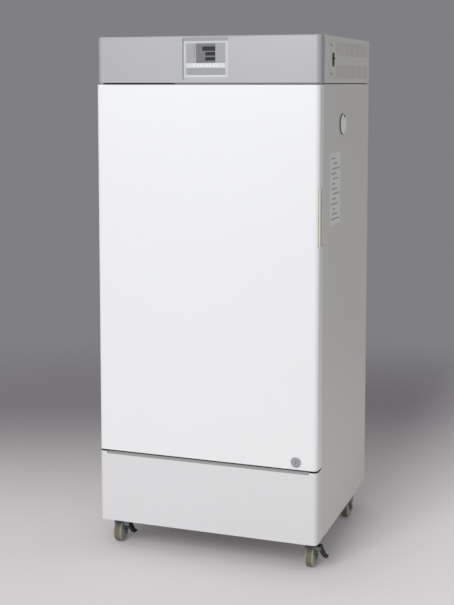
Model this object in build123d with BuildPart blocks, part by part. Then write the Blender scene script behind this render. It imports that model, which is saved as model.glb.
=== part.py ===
from build123d import *
import os
from math import cos, radians, sin, sqrt

# A floor-standing cooled laboratory incubator on four casters. Millimetres throughout.
# X runs to the cabinet's right as seen from the front, Y to its back, Z up from the floor.
# The origin is on the floor, under the middle of the cabinet.

# Whole cabinet
cabinet_width = 700.0
cabinet_depth = 631.0
cabinet_height = 1589.0
floor_gap = 92.0

# Front faces, from the floor up: lower panel, door, fascia
panel_height = 219.7
fascia_height = 137.2
front_gap = 5.5
front_thickness = 49.5
door_thickness = 45.5
fascia_setback = 10.0
front_corner_radius = 15.0
fascia_corner_radius = 16.0
fascia_wall = 2.0
fascia_bevel = 3.0

# Sheet metal
sheet = 1.2
frame_plate = 3.0
bend_radius = 3.0
side_flange = 21.0
rear_flange = 18.0
joggle_step = 1.0
joggle_distance = 47.0
seam_gap = 3.6
cover_bend_radius = 6.0

# Chamber, by the walls around it
chamber_wall = 50.0
chamber_back_wall = 53.5
chamber_sill = 64.5
chamber_head = 64.6
tank_sheet = 1.0
mouth_width = 28.0
mouth_depth = 16.8
rebate_width = 11.0
rebate_lip = 2.5

# Fits
seat_gap = 0.3
pin_clearance = 0.1
small_gap = 0.2

half_width = cabinet_width / 2
front_y = -cabinet_depth / 2
rear_y = cabinet_depth / 2
body_front_y = front_y + front_thickness
door_back_y = front_y + door_thickness
door_height = cabinet_height - fascia_height - panel_height - floor_gap - 2 * front_gap
fascia_y = front_y + fascia_setback
panel_bottom_z = floor_gap
panel_top_z = panel_bottom_z + panel_height
door_bottom_z = panel_top_z + front_gap
door_top_z = door_bottom_z + door_height
fascia_bottom_z = door_top_z + front_gap
body_top_z = door_top_z + front_gap / 4
cover_bottom_z = body_top_z + seam_gap
rear_sheet_y = rear_y - sheet
body_rear_y = rear_sheet_y - bend_radius
band_x = half_width - joggle_step
inner_x = band_x - sheet

chamber_width = cabinet_width - 2 * chamber_wall
chamber_height = door_height - chamber_sill - chamber_head
chamber_x = chamber_width / 2
chamber_bottom_z = door_bottom_z + chamber_sill
chamber_top_z = chamber_bottom_z + chamber_height
tank_front_y = body_front_y + mouth_depth
tank_back_y = rear_y - chamber_back_wall
mouth_x = chamber_x + mouth_width
mouth_bottom_z = chamber_bottom_z - mouth_width
mouth_top_z = chamber_top_z + mouth_width

os.makedirs("parts", exist_ok=True)


def write(shape, name):
    """Labels a finished piece and writes it to its own file."""
    shape.label = name
    export_step(shape, f"parts/{name}.step")


def write_set(shapes, name):
    """Writes pieces that touch but stay separate solids to one file."""
    write(Compound(children=list(shapes)), name)


def block(low, high, mode=Mode.ADD):
    """A box from its low corner to its high corner, inside a BuildPart."""
    size = [b - a for a, b in zip(low, high)]
    middle = [(a + b) / 2 for a, b in zip(low, high)]
    with Locations(tuple(middle)):
        Box(*size, mode=mode)


def rod(start, direction, radius, length, mode=Mode.ADD):
    """A round bar or a drilled hole, from its start point along a direction."""
    with BuildSketch(Plane(origin=start, z_dir=direction)) as disc:
        Circle(radius)
    extrude(disc.sketch, amount=length, mode=mode)


def hexagon(start, direction, across, length):
    """A six-sided nut or bolt head, from its start point along a direction."""
    with BuildSketch(Plane(origin=start, z_dir=direction)) as flats:
        RegularPolygon(across / 2, 6, major_radius=False)
    extrude(flats.sketch, amount=length)


def upright(points, bottom, top, mode=Mode.ADD):
    """A plan outline of straight sides, raised from one height to another."""
    with BuildSketch(Plane.XY.offset(bottom)) as plan:
        with BuildLine():
            Polyline(*points, close=True)
        make_face()
    extrude(plan.sketch, amount=top - bottom, mode=mode)


def front_tray_plan(front, back, half, radius, bottom, top, mode=Mode.ADD):
    """A block behind a flat front whose two upright front corners are round."""
    with BuildSketch(Plane.XY.offset(bottom)) as plan:
        with BuildLine():
            Polyline((-half, front + radius), (-half, back), (half, back), (half, front + radius))
            RadiusArc((half, front + radius), (half - radius, front), radius)
            Line((half - radius, front), (-half + radius, front))
            RadiusArc((-half + radius, front), (-half, front + radius), radius)
        make_face()
    extrude(plan.sketch, amount=top - bottom, mode=mode)


# Grip hollow: a wedge that starts behind the door's edge lip and runs out on the cabinet's side.
grip_height = 172.0
grip_below_door_top = 297.3
grip_end_slope = 15.0
grip_depth = 14.0
grip_lip = 5.0
grip_lip_setback = 10.5
grip_run = 20.0
grip_wall = 4.0

grip_top_z = door_top_z - grip_below_door_top
grip_bottom_z = grip_top_z - grip_height
grip_lip_y = front_y + grip_lip_setback
grip_inner_y = grip_lip_y + grip_lip
grip_end_y = body_front_y + grip_run
grip_floor_x = half_width - grip_depth


def grip_hollow(grown, mode):
    """The wedge of the finger hollow, grown by a wall thickness, added to or cut from the part."""
    with BuildSketch(Plane.XY.offset(grip_bottom_z - grown)) as plan:
        with BuildLine():
            Polyline(
                (grip_floor_x - grown, grip_inner_y - grown),
                (half_width + sheet, grip_inner_y - grown),
                (half_width + sheet, grip_end_y + grown),
                (half_width, grip_end_y + grown),
                close=True,
            )
        make_face()
    wedge = extrude(plan.sketch, amount=grip_top_z - grip_bottom_z + 2 * grown, mode=Mode.PRIVATE)
    outside = half_width + sheet
    slope = grip_end_slope / grip_depth
    reach = (outside - grip_floor_x + grown) * slope
    with BuildSketch(Plane.XZ.offset(-rear_y)) as side:
        with BuildLine():
            Polyline(
                (outside, grip_bottom_z - grown - sheet * slope),
                (outside, grip_top_z + grown + sheet * slope),
                (grip_floor_x - grown, grip_top_z + grown + sheet * slope - reach),
                (grip_floor_x - grown, grip_bottom_z - grown - sheet * slope + reach),
                close=True,
            )
        make_face()
    ends = extrude(side.sketch, amount=cabinet_depth, mode=Mode.PRIVATE)
    add(wedge & ends, mode=mode)


# Cable port through the right wall
port_setback = 215.0
port_below_door_top = 119.8
port_bore = 33.0
port_tube = 42.0
port_flange = 62.0
port_flange_thickness = 3.0
port_cap_diameter = 58.0
port_cap_thickness = 3.5
port_cap_chamfer = 1.2
port_screw = 4.0
port_y = body_front_y + port_setback
port_z = door_top_z - port_below_door_top


def port_hole(diameter, start, end):
    """The round way through the right wall, cut between two places along X."""
    rod((start, port_y, port_z), (1, 0, 0), diameter / 2, end - start, mode=Mode.SUBTRACT)


# Side panels: folded sheet with a front flange, a joggle and a rear flange
def side_profile(side):
    """Plan of a side panel's sheet, for the right side at 1 or the left side at -1."""
    joggle_y = body_front_y + joggle_distance
    outline = [
        (side * (band_x - side_flange), body_front_y),
        (side * band_x, body_front_y),
        (side * band_x, joggle_y),
        (side * half_width, joggle_y + 2 * joggle_step),
        (side * half_width, rear_sheet_y),
        (side * (half_width - rear_flange), rear_sheet_y),
    ]
    FilletPolyline(*outline, radius=[bend_radius, 0.5, 0.5, bend_radius])


with BuildPart() as side_panel_left:
    with BuildSketch(Plane.XY.offset(panel_bottom_z)):
        with BuildLine() as left_sheet:
            side_profile(-1)
            offset(amount=sheet, side=Side.RIGHT)
        make_face()
    extrude(amount=body_top_z - panel_bottom_z)
write(side_panel_left.part, "side_panel_left")

with BuildPart() as side_panel_right:
    with BuildSketch(Plane.XY.offset(panel_bottom_z)):
        with BuildLine() as right_sheet:
            side_profile(1)
            offset(amount=sheet, side=Side.LEFT)
        make_face()
    extrude(amount=body_top_z - panel_bottom_z)
    port_hole(port_tube + small_gap, inner_x - sheet, half_width + sheet)
    grip_hollow(sheet, Mode.SUBTRACT)
with BuildPart() as grip_pan:
    grip_hollow(sheet, Mode.ADD)
    grip_hollow(0, Mode.SUBTRACT)
    block(
        (grip_floor_x - grip_depth, body_front_y, grip_bottom_z - grip_depth),
        (band_x, rear_y, grip_top_z + grip_depth),
        mode=Mode.INTERSECT,
    )
with BuildPart() as side_panel_pressed:
    add(side_panel_right.part)
    add(grip_pan.part)
write(side_panel_pressed.part, "side_panel_right")

# Rear panel: flat sheet with the condenser's air slots and the cord gland's hole
condenser_width = 0.4 * cabinet_width
condenser_side_gap = 50.0
air_slot = 6.0
air_slot_height = 62.0
air_slot_pitch = 28.0
air_slot_rises = [54.0, 130.0]
gland_inset = 100.0
gland_rise = 98.0
gland_hole = 18.0
gland_flange = 24.0
gland_flange_thickness = 4.0
gland_depth = 10.0
cord_diameter = 9.0
condenser_x = half_width - condenser_side_gap - condenser_width / 2
gland_x = -half_width + gland_inset
gland_z = panel_bottom_z + gland_rise

with BuildPart() as rear_panel:
    block((-half_width, rear_sheet_y, panel_bottom_z), (half_width, rear_y, body_top_z))
    for rise in air_slot_rises:
        with Locations((condenser_x, rear_y, panel_bottom_z + rise)):
            with GridLocations(air_slot_pitch, 1, int(condenser_width / air_slot_pitch), 1):
                Box(air_slot, 4 * sheet, air_slot_height, mode=Mode.SUBTRACT)
    rod((gland_x, rear_sheet_y - sheet, gland_z), (0, 1, 0), gland_hole / 2, 3 * sheet, mode=Mode.SUBTRACT)
write(rear_panel.part, "rear_panel")

with BuildPart() as power_cord_gland:
    gland_start = (gland_x, rear_sheet_y - gland_depth, gland_z)
    gland_length = gland_depth + sheet + gland_flange_thickness
    hexagon((gland_x, rear_y, gland_z), (0, 1, 0), gland_flange, gland_flange_thickness)
    rod(gland_start, (0, 1, 0), gland_hole / 2, gland_length - gland_flange_thickness)
    rod(gland_start, (0, 1, 0), cord_diameter / 2, gland_length, mode=Mode.SUBTRACT)
write(power_cord_gland.part, "power_cord_gland")

# Base frame: pan, front wall, corner posts and the deck under the insulated body
deck_top_z = door_bottom_z - sheet
deck_bottom_z = deck_top_z - frame_plate
pan_top_z = panel_bottom_z + frame_plate
front_wall_x = band_x - side_flange - small_gap
frame_front_y = body_front_y + frame_plate
post_size = 32.0
service_margin = 140.0
service_height = 130.0
suction_inset = 150.0
pipe_pitch = 22.0
suction_x = chamber_x - suction_inset
liquid_x = suction_x + pipe_pitch
evaporator_back_gap = 8.0
evaporator_depth = 40.0
pipe_y = tank_back_y - evaporator_back_gap - evaporator_depth / 2
suction_diameter = 10.0
liquid_diameter = 6.0
sleeve_gap = 2.0


def pipe_way(bottom, top):
    """One way for the two refrigerant pipes through the deck, the foam and the chamber floor."""
    reach = suction_diameter / 2 + sleeve_gap
    block(
        (suction_x - reach, pipe_y - reach, bottom),
        (liquid_x + reach, pipe_y + reach, top),
        mode=Mode.SUBTRACT,
    )


with BuildPart() as base_frame:
    block((-inner_x, frame_front_y, panel_bottom_z), (inner_x, body_rear_y, pan_top_z))
    block((-front_wall_x, body_front_y, panel_bottom_z), (front_wall_x, frame_front_y, mouth_bottom_z))
    block((-inner_x, frame_front_y, deck_bottom_z), (inner_x, body_rear_y, deck_top_z))
    for side in (-1, 1):
        for post_y, turn in ((frame_front_y, 1), (body_rear_y, -1)):
            outer_x = side * inner_x
            post = [
                (outer_x, post_y),
                (outer_x - side * post_size, post_y),
                (outer_x - side * post_size, post_y + turn * frame_plate),
                (outer_x - side * frame_plate, post_y + turn * frame_plate),
                (outer_x - side * frame_plate, post_y + turn * post_size),
                (outer_x, post_y + turn * post_size),
            ]
            upright(post, pan_top_z, deck_bottom_z)
    middle_z = (pan_top_z + deck_bottom_z) / 2
    with Locations((0, body_front_y, middle_z)):
        Box(cabinet_width - 2 * service_margin, 4 * frame_plate, service_height, mode=Mode.SUBTRACT)
    pipe_way(deck_bottom_z - sheet, deck_top_z + sheet)
write(base_frame.part, "base_frame")

# Top tray: closes the insulated body and carries the top cover on its upturned edges
tray_plate_z = body_top_z - sheet
tray_edge_inset = 4.0
tray_edge_x = inner_x - tray_edge_inset
tray_edge_height = 14.0
tray_hem = half_width - sheet

with BuildPart() as top_tray:
    block((-inner_x, frame_front_y, tray_plate_z), (inner_x, body_rear_y, body_top_z))
    block((-front_wall_x, body_front_y, tray_plate_z), (front_wall_x, frame_front_y, body_top_z))
    block((-front_wall_x, body_front_y, mouth_top_z), (front_wall_x, body_front_y + sheet, body_top_z))
    for side in (-1, 1):
        hem = [
            (side * tray_edge_x, body_top_z),
            (side * (tray_edge_x - sheet), body_top_z),
            (side * (tray_edge_x - sheet), body_top_z + tray_edge_height),
            (side * tray_hem, body_top_z + tray_edge_height),
            (side * tray_hem, body_top_z + tray_edge_height - sheet),
            (side * tray_edge_x, body_top_z + tray_edge_height - sheet),
        ]
        with BuildSketch(Plane.XZ.offset(-body_rear_y)):
            with BuildLine():
                Polyline(*hem, close=True)
            make_face()
        extrude(amount=body_rear_y - frame_front_y - cover_bend_radius)
write(top_tray.part, "top_tray")

# Chamber tank: five stainless sheets, welded along their edges
fan_z = chamber_bottom_z + 0.8 * chamber_height
fan_diameter = 170.0
fan_shaft = 8.0
shaft_hole = 16.0


def wall(low, high):
    """One sheet of the tank as its own solid."""
    with BuildPart() as tank_wall:
        block(low, high)
    return tank_wall.part


with BuildPart() as tank_right:
    block(
        (chamber_x, tank_front_y, chamber_bottom_z),
        (chamber_x + tank_sheet, tank_back_y, chamber_top_z),
    )
    port_hole(port_tube + small_gap, chamber_x - tank_sheet, chamber_x + 2 * tank_sheet)
with BuildPart() as tank_back:
    block(
        (-chamber_x - tank_sheet, tank_back_y, chamber_bottom_z),
        (chamber_x + tank_sheet, tank_back_y + tank_sheet, chamber_top_z),
    )
    rod((0, tank_back_y - tank_sheet, fan_z), (0, 1, 0), shaft_hole / 2, 3 * tank_sheet, mode=Mode.SUBTRACT)
with BuildPart() as tank_floor:
    block(
        (-chamber_x - tank_sheet, tank_front_y, chamber_bottom_z - tank_sheet),
        (chamber_x + tank_sheet, tank_back_y + tank_sheet, chamber_bottom_z),
    )
    pipe_way(chamber_bottom_z - 2 * tank_sheet, chamber_bottom_z + tank_sheet)
tank_left = wall(
    (-chamber_x - tank_sheet, tank_front_y, chamber_bottom_z),
    (-chamber_x, tank_back_y, chamber_top_z),
)
tank_roof = wall(
    (-chamber_x - tank_sheet, tank_front_y, chamber_top_z),
    (chamber_x + tank_sheet, tank_back_y + tank_sheet, chamber_top_z + tank_sheet),
)
write_set([tank_floor.part, tank_left, tank_right.part, tank_back.part, tank_roof], "inner_tank")

# Mouth frame: four mitred plastic strips that bridge the outer shell and the tank
inner_hinge_gap = 5.0
inner_hinge_x = -(chamber_x + rebate_width - inner_hinge_gap)
inner_pin_diameter = 5.0
inner_pin_length = 8.0
pane_thickness = 5.0
pane_back_y = tank_front_y - rebate_lip - seat_gap
pane_front_y = pane_back_y - pane_thickness
inner_hinge_y = pane_front_y - inner_hinge_gap
mouth_middle_z = (mouth_bottom_z + mouth_top_z) / 2


def front_opening(width, height, start, end, mode):
    """A block around the chamber mouth's middle, between two places along Y."""
    with Locations((0, (start + end) / 2, mouth_middle_z)):
        Box(width, end - start, height, mode=mode)


with BuildPart() as mouth_ring:
    front_opening(2 * mouth_x, chamber_height + 2 * mouth_width, body_front_y, tank_front_y, Mode.ADD)
    rebate_y = tank_front_y - rebate_lip
    recess_width = chamber_width + 2 * rebate_width
    recess_height = chamber_height + 2 * rebate_width
    front_opening(recess_width, recess_height, body_front_y, rebate_y, Mode.SUBTRACT)
    front_opening(chamber_width, chamber_height, rebate_y, tank_front_y, Mode.SUBTRACT)
    for start_z, up in ((chamber_top_z + rebate_width, 1), (chamber_bottom_z - rebate_width, -1)):
        rod(
            (inner_hinge_x, inner_hinge_y, start_z),
            (0, 0, up),
            inner_pin_diameter / 2 + pin_clearance,
            inner_pin_length + 1,
            mode=Mode.SUBTRACT,
        )
outer_corners = [
    (-mouth_x, mouth_bottom_z),
    (mouth_x, mouth_bottom_z),
    (mouth_x, mouth_top_z),
    (-mouth_x, mouth_top_z),
]
inner_corners = [
    (-chamber_x, chamber_bottom_z),
    (chamber_x, chamber_bottom_z),
    (chamber_x, chamber_top_z),
    (-chamber_x, chamber_top_z),
]
mouth_strips = []
for number in range(4):
    following = (number + 1) % 4
    with BuildPart() as mouth_strip:
        with BuildSketch(Plane.XZ.offset(-tank_front_y)):
            with BuildLine():
                Polyline(
                    outer_corners[number],
                    outer_corners[following],
                    inner_corners[following],
                    inner_corners[number],
                    close=True,
                )
            make_face()
        extrude(amount=tank_front_y - body_front_y)
        add(mouth_ring.part, mode=Mode.INTERSECT)
    mouth_strips.append(mouth_strip.part)
write_set(mouth_strips, "mouth_frame")

# Foam between the outer shell and the tank
motor_diameter = 66.0
motor_length = 38.0
motor_flange = 84.0
motor_flange_thickness = 3.0
motor_room = 1.0

with BuildPart() as insulation:
    block((-inner_x, frame_front_y, deck_top_z), (inner_x, body_rear_y, tray_plate_z))
    front_opening(2 * mouth_x, chamber_height + 2 * mouth_width, frame_front_y, tank_front_y, Mode.SUBTRACT)
    tank_outer = (chamber_width + 2 * tank_sheet, chamber_height + 2 * tank_sheet)
    front_opening(*tank_outer, tank_front_y, tank_back_y + tank_sheet, Mode.SUBTRACT)
    motor_reach = motor_flange / 2 + motor_room
    motor_end_y = tank_back_y + tank_sheet + motor_flange_thickness + motor_length + motor_room
    block(
        (-motor_reach, tank_back_y, fan_z - motor_reach),
        (motor_reach, motor_end_y, fan_z + motor_reach),
        mode=Mode.SUBTRACT,
    )
    port_hole(port_tube + small_gap, chamber_x, half_width)
    pipe_way(deck_top_z - sheet, chamber_bottom_z)
    grip_hollow(sheet, Mode.SUBTRACT)
write(insulation.part, "insulation")

# Cable port: sleeve with its outer and inner flange, cap swinging about a screw
port_screw_head = 2.0
port_screw_z = port_z + (port_bore + port_cap_diameter) / 4 + port_screw_head

with BuildPart() as port_sleeve:
    tube_start = chamber_x - port_flange_thickness
    tube_end = half_width + port_flange_thickness
    rod((tube_start, port_y, port_z), (1, 0, 0), port_tube / 2, tube_end - tube_start)
    rod((half_width, port_y, port_z), (1, 0, 0), port_flange / 2, port_flange_thickness)
    port_hole(port_bore, tube_start, tube_end)
    screw_start = (tube_end, port_y, port_screw_z)
    screw_length = port_cap_thickness + 2 * seat_gap
    rod(screw_start, (1, 0, 0), port_screw / 2, screw_length)
    rod((tube_end + screw_length, port_y, port_screw_z), (1, 0, 0), port_screw, port_screw_head)
write(port_sleeve.part, "port_sleeve")

with BuildPart() as port_cap:
    cap_x = half_width + port_flange_thickness + seat_gap
    rod((cap_x, port_y, port_z), (1, 0, 0), port_cap_diameter / 2, port_cap_thickness)
    chamfer(edges().group_by(Axis.X)[-1], port_cap_chamfer)
    screw_radius = port_screw / 2 + pin_clearance
    rod((cap_x, port_y, port_screw_z), (1, 0, 0), screw_radius, port_cap_thickness, mode=Mode.SUBTRACT)
write(port_cap.part, "port_cap")

# Shelf rails: four uprights and a pair of ledges for each shelf
lowest_shelf_rise = 178.3
shelf_step = 0.24 * chamber_height
shelf_heights = {
    "lower": chamber_bottom_z + lowest_shelf_rise,
    "middle": chamber_bottom_z + lowest_shelf_rise + shelf_step,
    "upper": chamber_bottom_z + lowest_shelf_rise + 2 * shelf_step,
}
upright_width = 22.0
upright_depth = 6.0
upright_inset = 42.0
ledge_width = 18.0
ledge_thickness = 2.0
ledge_guide = 16.0
duct_depth = 63.0
shelf_back_gap = 2.0
shelf_front_gap = 21.2
shelf_side_gap = 3.0
shelf_sheet = 1.0
shelf_edge = 12.0
duct_y = tank_back_y - duct_depth
shelf_back_y = duct_y - shelf_back_gap
shelf_front_y = tank_front_y + shelf_front_gap
ledge_x = chamber_x - upright_depth

rail_pieces = []
for side in (-1, 1):
    for upright_y in (shelf_front_y + upright_inset, shelf_back_y - upright_inset):
        with BuildPart() as rail_upright:
            low_x, high_x = sorted((side * ledge_x, side * chamber_x))
            block(
                (low_x, upright_y - upright_width / 2, chamber_bottom_z),
                (high_x, upright_y + upright_width / 2, chamber_top_z),
            )
        rail_pieces.append(rail_upright.part)
    for shelf_z in shelf_heights.values():
        with BuildPart() as ledge:
            section = [
                (side * ledge_x, shelf_z - ledge_thickness),
                (side * (ledge_x - ledge_width), shelf_z - ledge_thickness),
                (side * (ledge_x - ledge_width), shelf_z),
                (side * (ledge_x - ledge_thickness), shelf_z),
                (side * (ledge_x - ledge_thickness), shelf_z + ledge_guide),
                (side * ledge_x, shelf_z + ledge_guide),
            ]
            with BuildSketch(Plane.XZ.offset(-shelf_back_y)):
                with BuildLine():
                    Polyline(*section, close=True)
                make_face()
            extrude(amount=shelf_back_y - shelf_front_y)
        rail_pieces.append(ledge.part)
write_set(rail_pieces, "shelf_rails")

# Shelves: punched stainless trays turned upside down
shelf_x = ledge_x - ledge_thickness - shelf_side_gap
shelf_slot_height = 24.0
shelf_slot_margin = 24.5
shelf_slot_rows = 7
shelf_slot_pitch = (shelf_back_y - shelf_front_y - shelf_slot_margin) / shelf_slot_rows

for shelf_name, shelf_z in shelf_heights.items():
    with BuildPart() as shelf:
        top_z = shelf_z + shelf_edge + shelf_sheet
        block((-shelf_x, shelf_front_y, shelf_z), (shelf_x, shelf_back_y, top_z))
        block(
            (-shelf_x + shelf_sheet, shelf_front_y + shelf_sheet, shelf_z),
            (shelf_x - shelf_sheet, shelf_back_y - shelf_sheet, shelf_z + shelf_edge),
            mode=Mode.SUBTRACT,
        )
        with Locations((0, (shelf_front_y + shelf_back_y) / 2, top_z)):
            with GridLocations(shelf_x, shelf_slot_pitch, 2, shelf_slot_rows):
                Box(shelf_x - 2 * shelf_slot_margin, shelf_slot_height, 4 * shelf_sheet, mode=Mode.SUBTRACT)
    write(shelf.part, f"shelf_{shelf_name}")

# Air duct panel in front of the fan, heater and evaporator
duct_side_gap = 20.0
duct_bottom_gap = 18.0
duct_top_gap = 24.0
intake_slots = 12
intake_slot = (40.0, 6.0)
intake_radius = 52.0
outlet_slot = (8.0, 60.0)
outlet_slots = 10
outlet_margin = 46.0
duct_x = chamber_x - duct_side_gap
duct_bottom_z = chamber_bottom_z + duct_bottom_gap
duct_top_z = chamber_top_z - duct_top_gap
outlet_pitch = 2 * (duct_x - outlet_margin) / (outlet_slots - 1)

with BuildPart() as air_duct_panel:
    block((-duct_x, duct_y, duct_bottom_z), (duct_x, tank_back_y, duct_top_z))
    block(
        (-duct_x + tank_sheet, duct_y + tank_sheet, duct_bottom_z),
        (duct_x - tank_sheet, tank_back_y, duct_top_z),
        mode=Mode.SUBTRACT,
    )
    with Locations(Location((0, duct_y, fan_z), (90, 0, 0))):
        with PolarLocations(intake_radius, intake_slots):
            Box(*intake_slot, 6 * tank_sheet, mode=Mode.SUBTRACT)
    with Locations((0, duct_y, duct_bottom_z + outlet_slot[1])):
        with GridLocations(outlet_pitch, 1, outlet_slots, 1):
            Box(outlet_slot[0], 6 * tank_sheet, outlet_slot[1], mode=Mode.SUBTRACT)
write(air_duct_panel.part, "air_duct_panel")

# Circulation fan: back plate, hub with its shaft, and straight radial blades
fan_gap = 8.0
fan_blades = 10
fan_blade_length = 38.0
fan_blade_depth = 28.0
fan_blade_lean = 35.0
fan_plate = 1.5
fan_hub = 36.0
fan_hub_depth = 20.0
shaft_room = fan_shaft / 2 + pin_clearance
fan_back_y = tank_back_y - fan_gap

with BuildPart() as fan_motor:
    motor_y = tank_back_y + tank_sheet
    rod((0, motor_y + motor_flange_thickness, fan_z), (0, 1, 0), motor_diameter / 2, motor_length)
    with Locations((0, motor_y + motor_flange_thickness / 2, fan_z)):
        Box(motor_flange, motor_flange_thickness, motor_flange)
    shaft_end_y = fan_back_y + motor_length
    rod((0, motor_y, fan_z), (0, 1, 0), shaft_room, shaft_end_y + small_gap - motor_y, mode=Mode.SUBTRACT)
write(fan_motor.part, "fan_motor")

with BuildPart() as circulation_fan:
    rod((0, fan_back_y - fan_plate, fan_z), (0, 1, 0), fan_diameter / 2, fan_plate)
    rod((0, fan_back_y - fan_hub_depth, fan_z), (0, 1, 0), fan_hub / 2, fan_hub_depth - fan_plate)
    rod((0, fan_back_y, fan_z), (0, 1, 0), fan_shaft / 2, motor_length)
    blade_radius = (fan_diameter - fan_blade_length) / 2
    for number in range(fan_blades):
        blade_angle = 360 / fan_blades * number
        blade_place = (
            blade_radius * cos(radians(blade_angle)),
            fan_back_y - fan_plate - fan_blade_depth / 2,
            fan_z + blade_radius * sin(radians(blade_angle)),
        )
        with Locations(Location(blade_place, (0, -blade_angle - fan_blade_lean, 0))):
            Box(fan_blade_length, fan_blade_depth, fan_plate)
write(circulation_fan.part, "circulation_fan")

# Heater: two sheathed rods between end brackets on the tank's back
heater_inset = 100.0
heater_rod = 8.0
heater_back_gap = 26.0
heater_pitch = 40.0
heater_count = 2
bracket_sheet = 2.0
bracket_margin = 12.0
heater_x = chamber_x - heater_inset
heater_y = tank_back_y - heater_back_gap
heater_z = chamber_bottom_z + 0.4 * chamber_height

with BuildPart() as heater:
    for number in range(heater_count):
        rod_start = (-heater_x, heater_y, heater_z + number * heater_pitch)
        rod(rod_start, (1, 0, 0), heater_rod / 2, 2 * heater_x)
    top_rod_z = heater_z + (heater_count - 1) * heater_pitch
    for side in (-1, 1):
        low_x, high_x = sorted((side * heater_x, side * (heater_x + bracket_sheet)))
        block(
            (low_x, heater_y - bracket_margin, heater_z - bracket_margin),
            (high_x, tank_back_y, top_rod_z + bracket_margin),
        )
write(heater.part, "heater")

# Evaporator: finned block with end plates that reach the tank's back
evaporator_inset = 90.0
evaporator_x = chamber_x - evaporator_inset
evaporator_bottom_z = chamber_bottom_z + 0.1 * chamber_height
evaporator_top_z = chamber_bottom_z + 0.33 * chamber_height
end_plate_margin = 5.0
fin_pitch = 30.0
fin_gap = 12.0
fin_depth = 14.0

with BuildPart() as evaporator:
    front = pipe_y - evaporator_depth / 2
    back = pipe_y + evaporator_depth / 2
    block((-evaporator_x, front, evaporator_bottom_z), (evaporator_x, back, evaporator_top_z))
    with Locations((0, front, (evaporator_bottom_z + evaporator_top_z) / 2)):
        with GridLocations(fin_pitch, 1, int(2 * evaporator_x / fin_pitch) - 1, 1):
            Box(fin_gap, 2 * fin_depth, evaporator_top_z, mode=Mode.SUBTRACT)
    for side in (-1, 1):
        low_x, high_x = sorted((side * evaporator_x, side * (evaporator_x + bracket_sheet)))
        block(
            (low_x, front - end_plate_margin, evaporator_bottom_z - end_plate_margin),
            (high_x, tank_back_y, evaporator_top_z + end_plate_margin),
        )
write(evaporator.part, "evaporator")

# Temperature probe: a bulb clipped against the duct panel
probe_inset = 60.0
probe_below_top = 111.7
probe_diameter = 6.0
probe_length = 90.0
probe_gap = 2.0
probe_clip = (18.0, 40.0)

with BuildPart() as temperature_probe:
    probe_x = chamber_x - probe_inset
    probe_z = chamber_top_z - probe_below_top
    probe_y = duct_y - probe_diameter / 2 - probe_gap
    rod((probe_x, probe_y, probe_z - probe_length / 2), (0, 0, 1), probe_diameter / 2, probe_length)
    block(
        (probe_x - probe_clip[0] / 2, probe_y, probe_z - probe_clip[1] / 2),
        (probe_x + probe_clip[0] / 2, duct_y, probe_z + probe_clip[1] / 2),
    )
write(temperature_probe.part, "temperature_probe")

# Lock in the door's lower right corner; its cam drops behind the lower panel's top edge
lock_inset = 65.2
lock_rise = 21.7
lock_rosette = 31.0
lock_barrel = 19.0
lock_plug = 13.0
lock_depth = 34.0
cam_length = 36.0
cam_width = 12.0
cam_thickness = 3.0
cam_room = 2.0
lock_x = half_width - lock_inset
lock_z = door_bottom_z + lock_rise
cam_front_y = front_y + lock_depth
key_slot = (2.0, 8.0)
key_slot_depth = 6.0


def cam_slot(edge_z, mode=Mode.SUBTRACT):
    """The slot that the swinging cam needs in a sheet whose lower face is at the given height."""
    drop = lock_z - edge_z
    reach = sqrt(cam_length**2 - (drop - sheet) ** 2) + cam_width / 2 + cam_room
    block(
        (lock_x - reach, cam_front_y - cam_room, edge_z - sheet),
        (lock_x + cam_width / 2 + cam_room, cam_front_y + cam_thickness + cam_room, edge_z + 2 * sheet),
        mode=mode,
    )


# Hinges of the outer door: plates in the gaps over and under it, pins into nylon bushes
hinge_inset_x = 12.0
hinge_inset_y = 20.5
hinge_plate = 3.0
hinge_pin = 10.0
hinge_pin_length = 12.0
hinge_leg_height = 26.0
bush_wall = 2.0
hinge_x = -half_width + hinge_inset_x
hinge_y = front_y + hinge_inset_y
hinge_nose = 10.0
hinge_margin = (front_gap - hinge_plate) / 2
bush_radius = hinge_pin / 2 + pin_clearance + bush_wall
hinge_sides = ((door_top_z, 1), (door_bottom_z, -1))

door_bushes = []
hinge_plates = []
for edge_z, up in hinge_sides:
    with BuildPart() as door_bush:
        bush_proud = hinge_margin - pin_clearance
        bush_start = (hinge_x, hinge_y, edge_z + up * bush_proud)
        rod(bush_start, (0, 0, -up), bush_radius, bush_proud + hinge_pin_length + bush_wall)
        bore_start = (hinge_x, hinge_y, edge_z + up * hinge_margin)
        bore_length = hinge_margin + hinge_pin_length + pin_clearance
        rod(bore_start, (0, 0, -up), hinge_pin / 2 + pin_clearance, bore_length, mode=Mode.SUBTRACT)
    door_bushes.append(door_bush.part)
    plate_start_z = edge_z + up * hinge_margin
    plate_end_z = plate_start_z + up * hinge_plate
    leg_end_z = plate_end_z + up * hinge_leg_height
    low_z, high_z = sorted((plate_start_z, plate_end_z))
    leg_low_z, leg_high_z = sorted((plate_start_z, leg_end_z))
    with BuildPart() as hinge_bracket:
        block(
            (hinge_x - hinge_nose, hinge_y, low_z),
            (hinge_x + hinge_nose, body_front_y, high_z),
        )
        rod((hinge_x, hinge_y, low_z), (0, 0, 1), hinge_nose, hinge_plate)
        block(
            (hinge_x - hinge_nose + sheet, body_front_y - hinge_plate, leg_low_z),
            (hinge_x + 2 * hinge_nose, body_front_y, leg_high_z),
        )
        rod((hinge_x, hinge_y, plate_start_z), (0, 0, -up), hinge_pin / 2, hinge_margin + hinge_pin_length)
    hinge_plates.append(hinge_bracket.part)
write_set(door_bushes, "door_hinge_bushes")
write_set(hinge_plates, "hinge_brackets")

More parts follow.
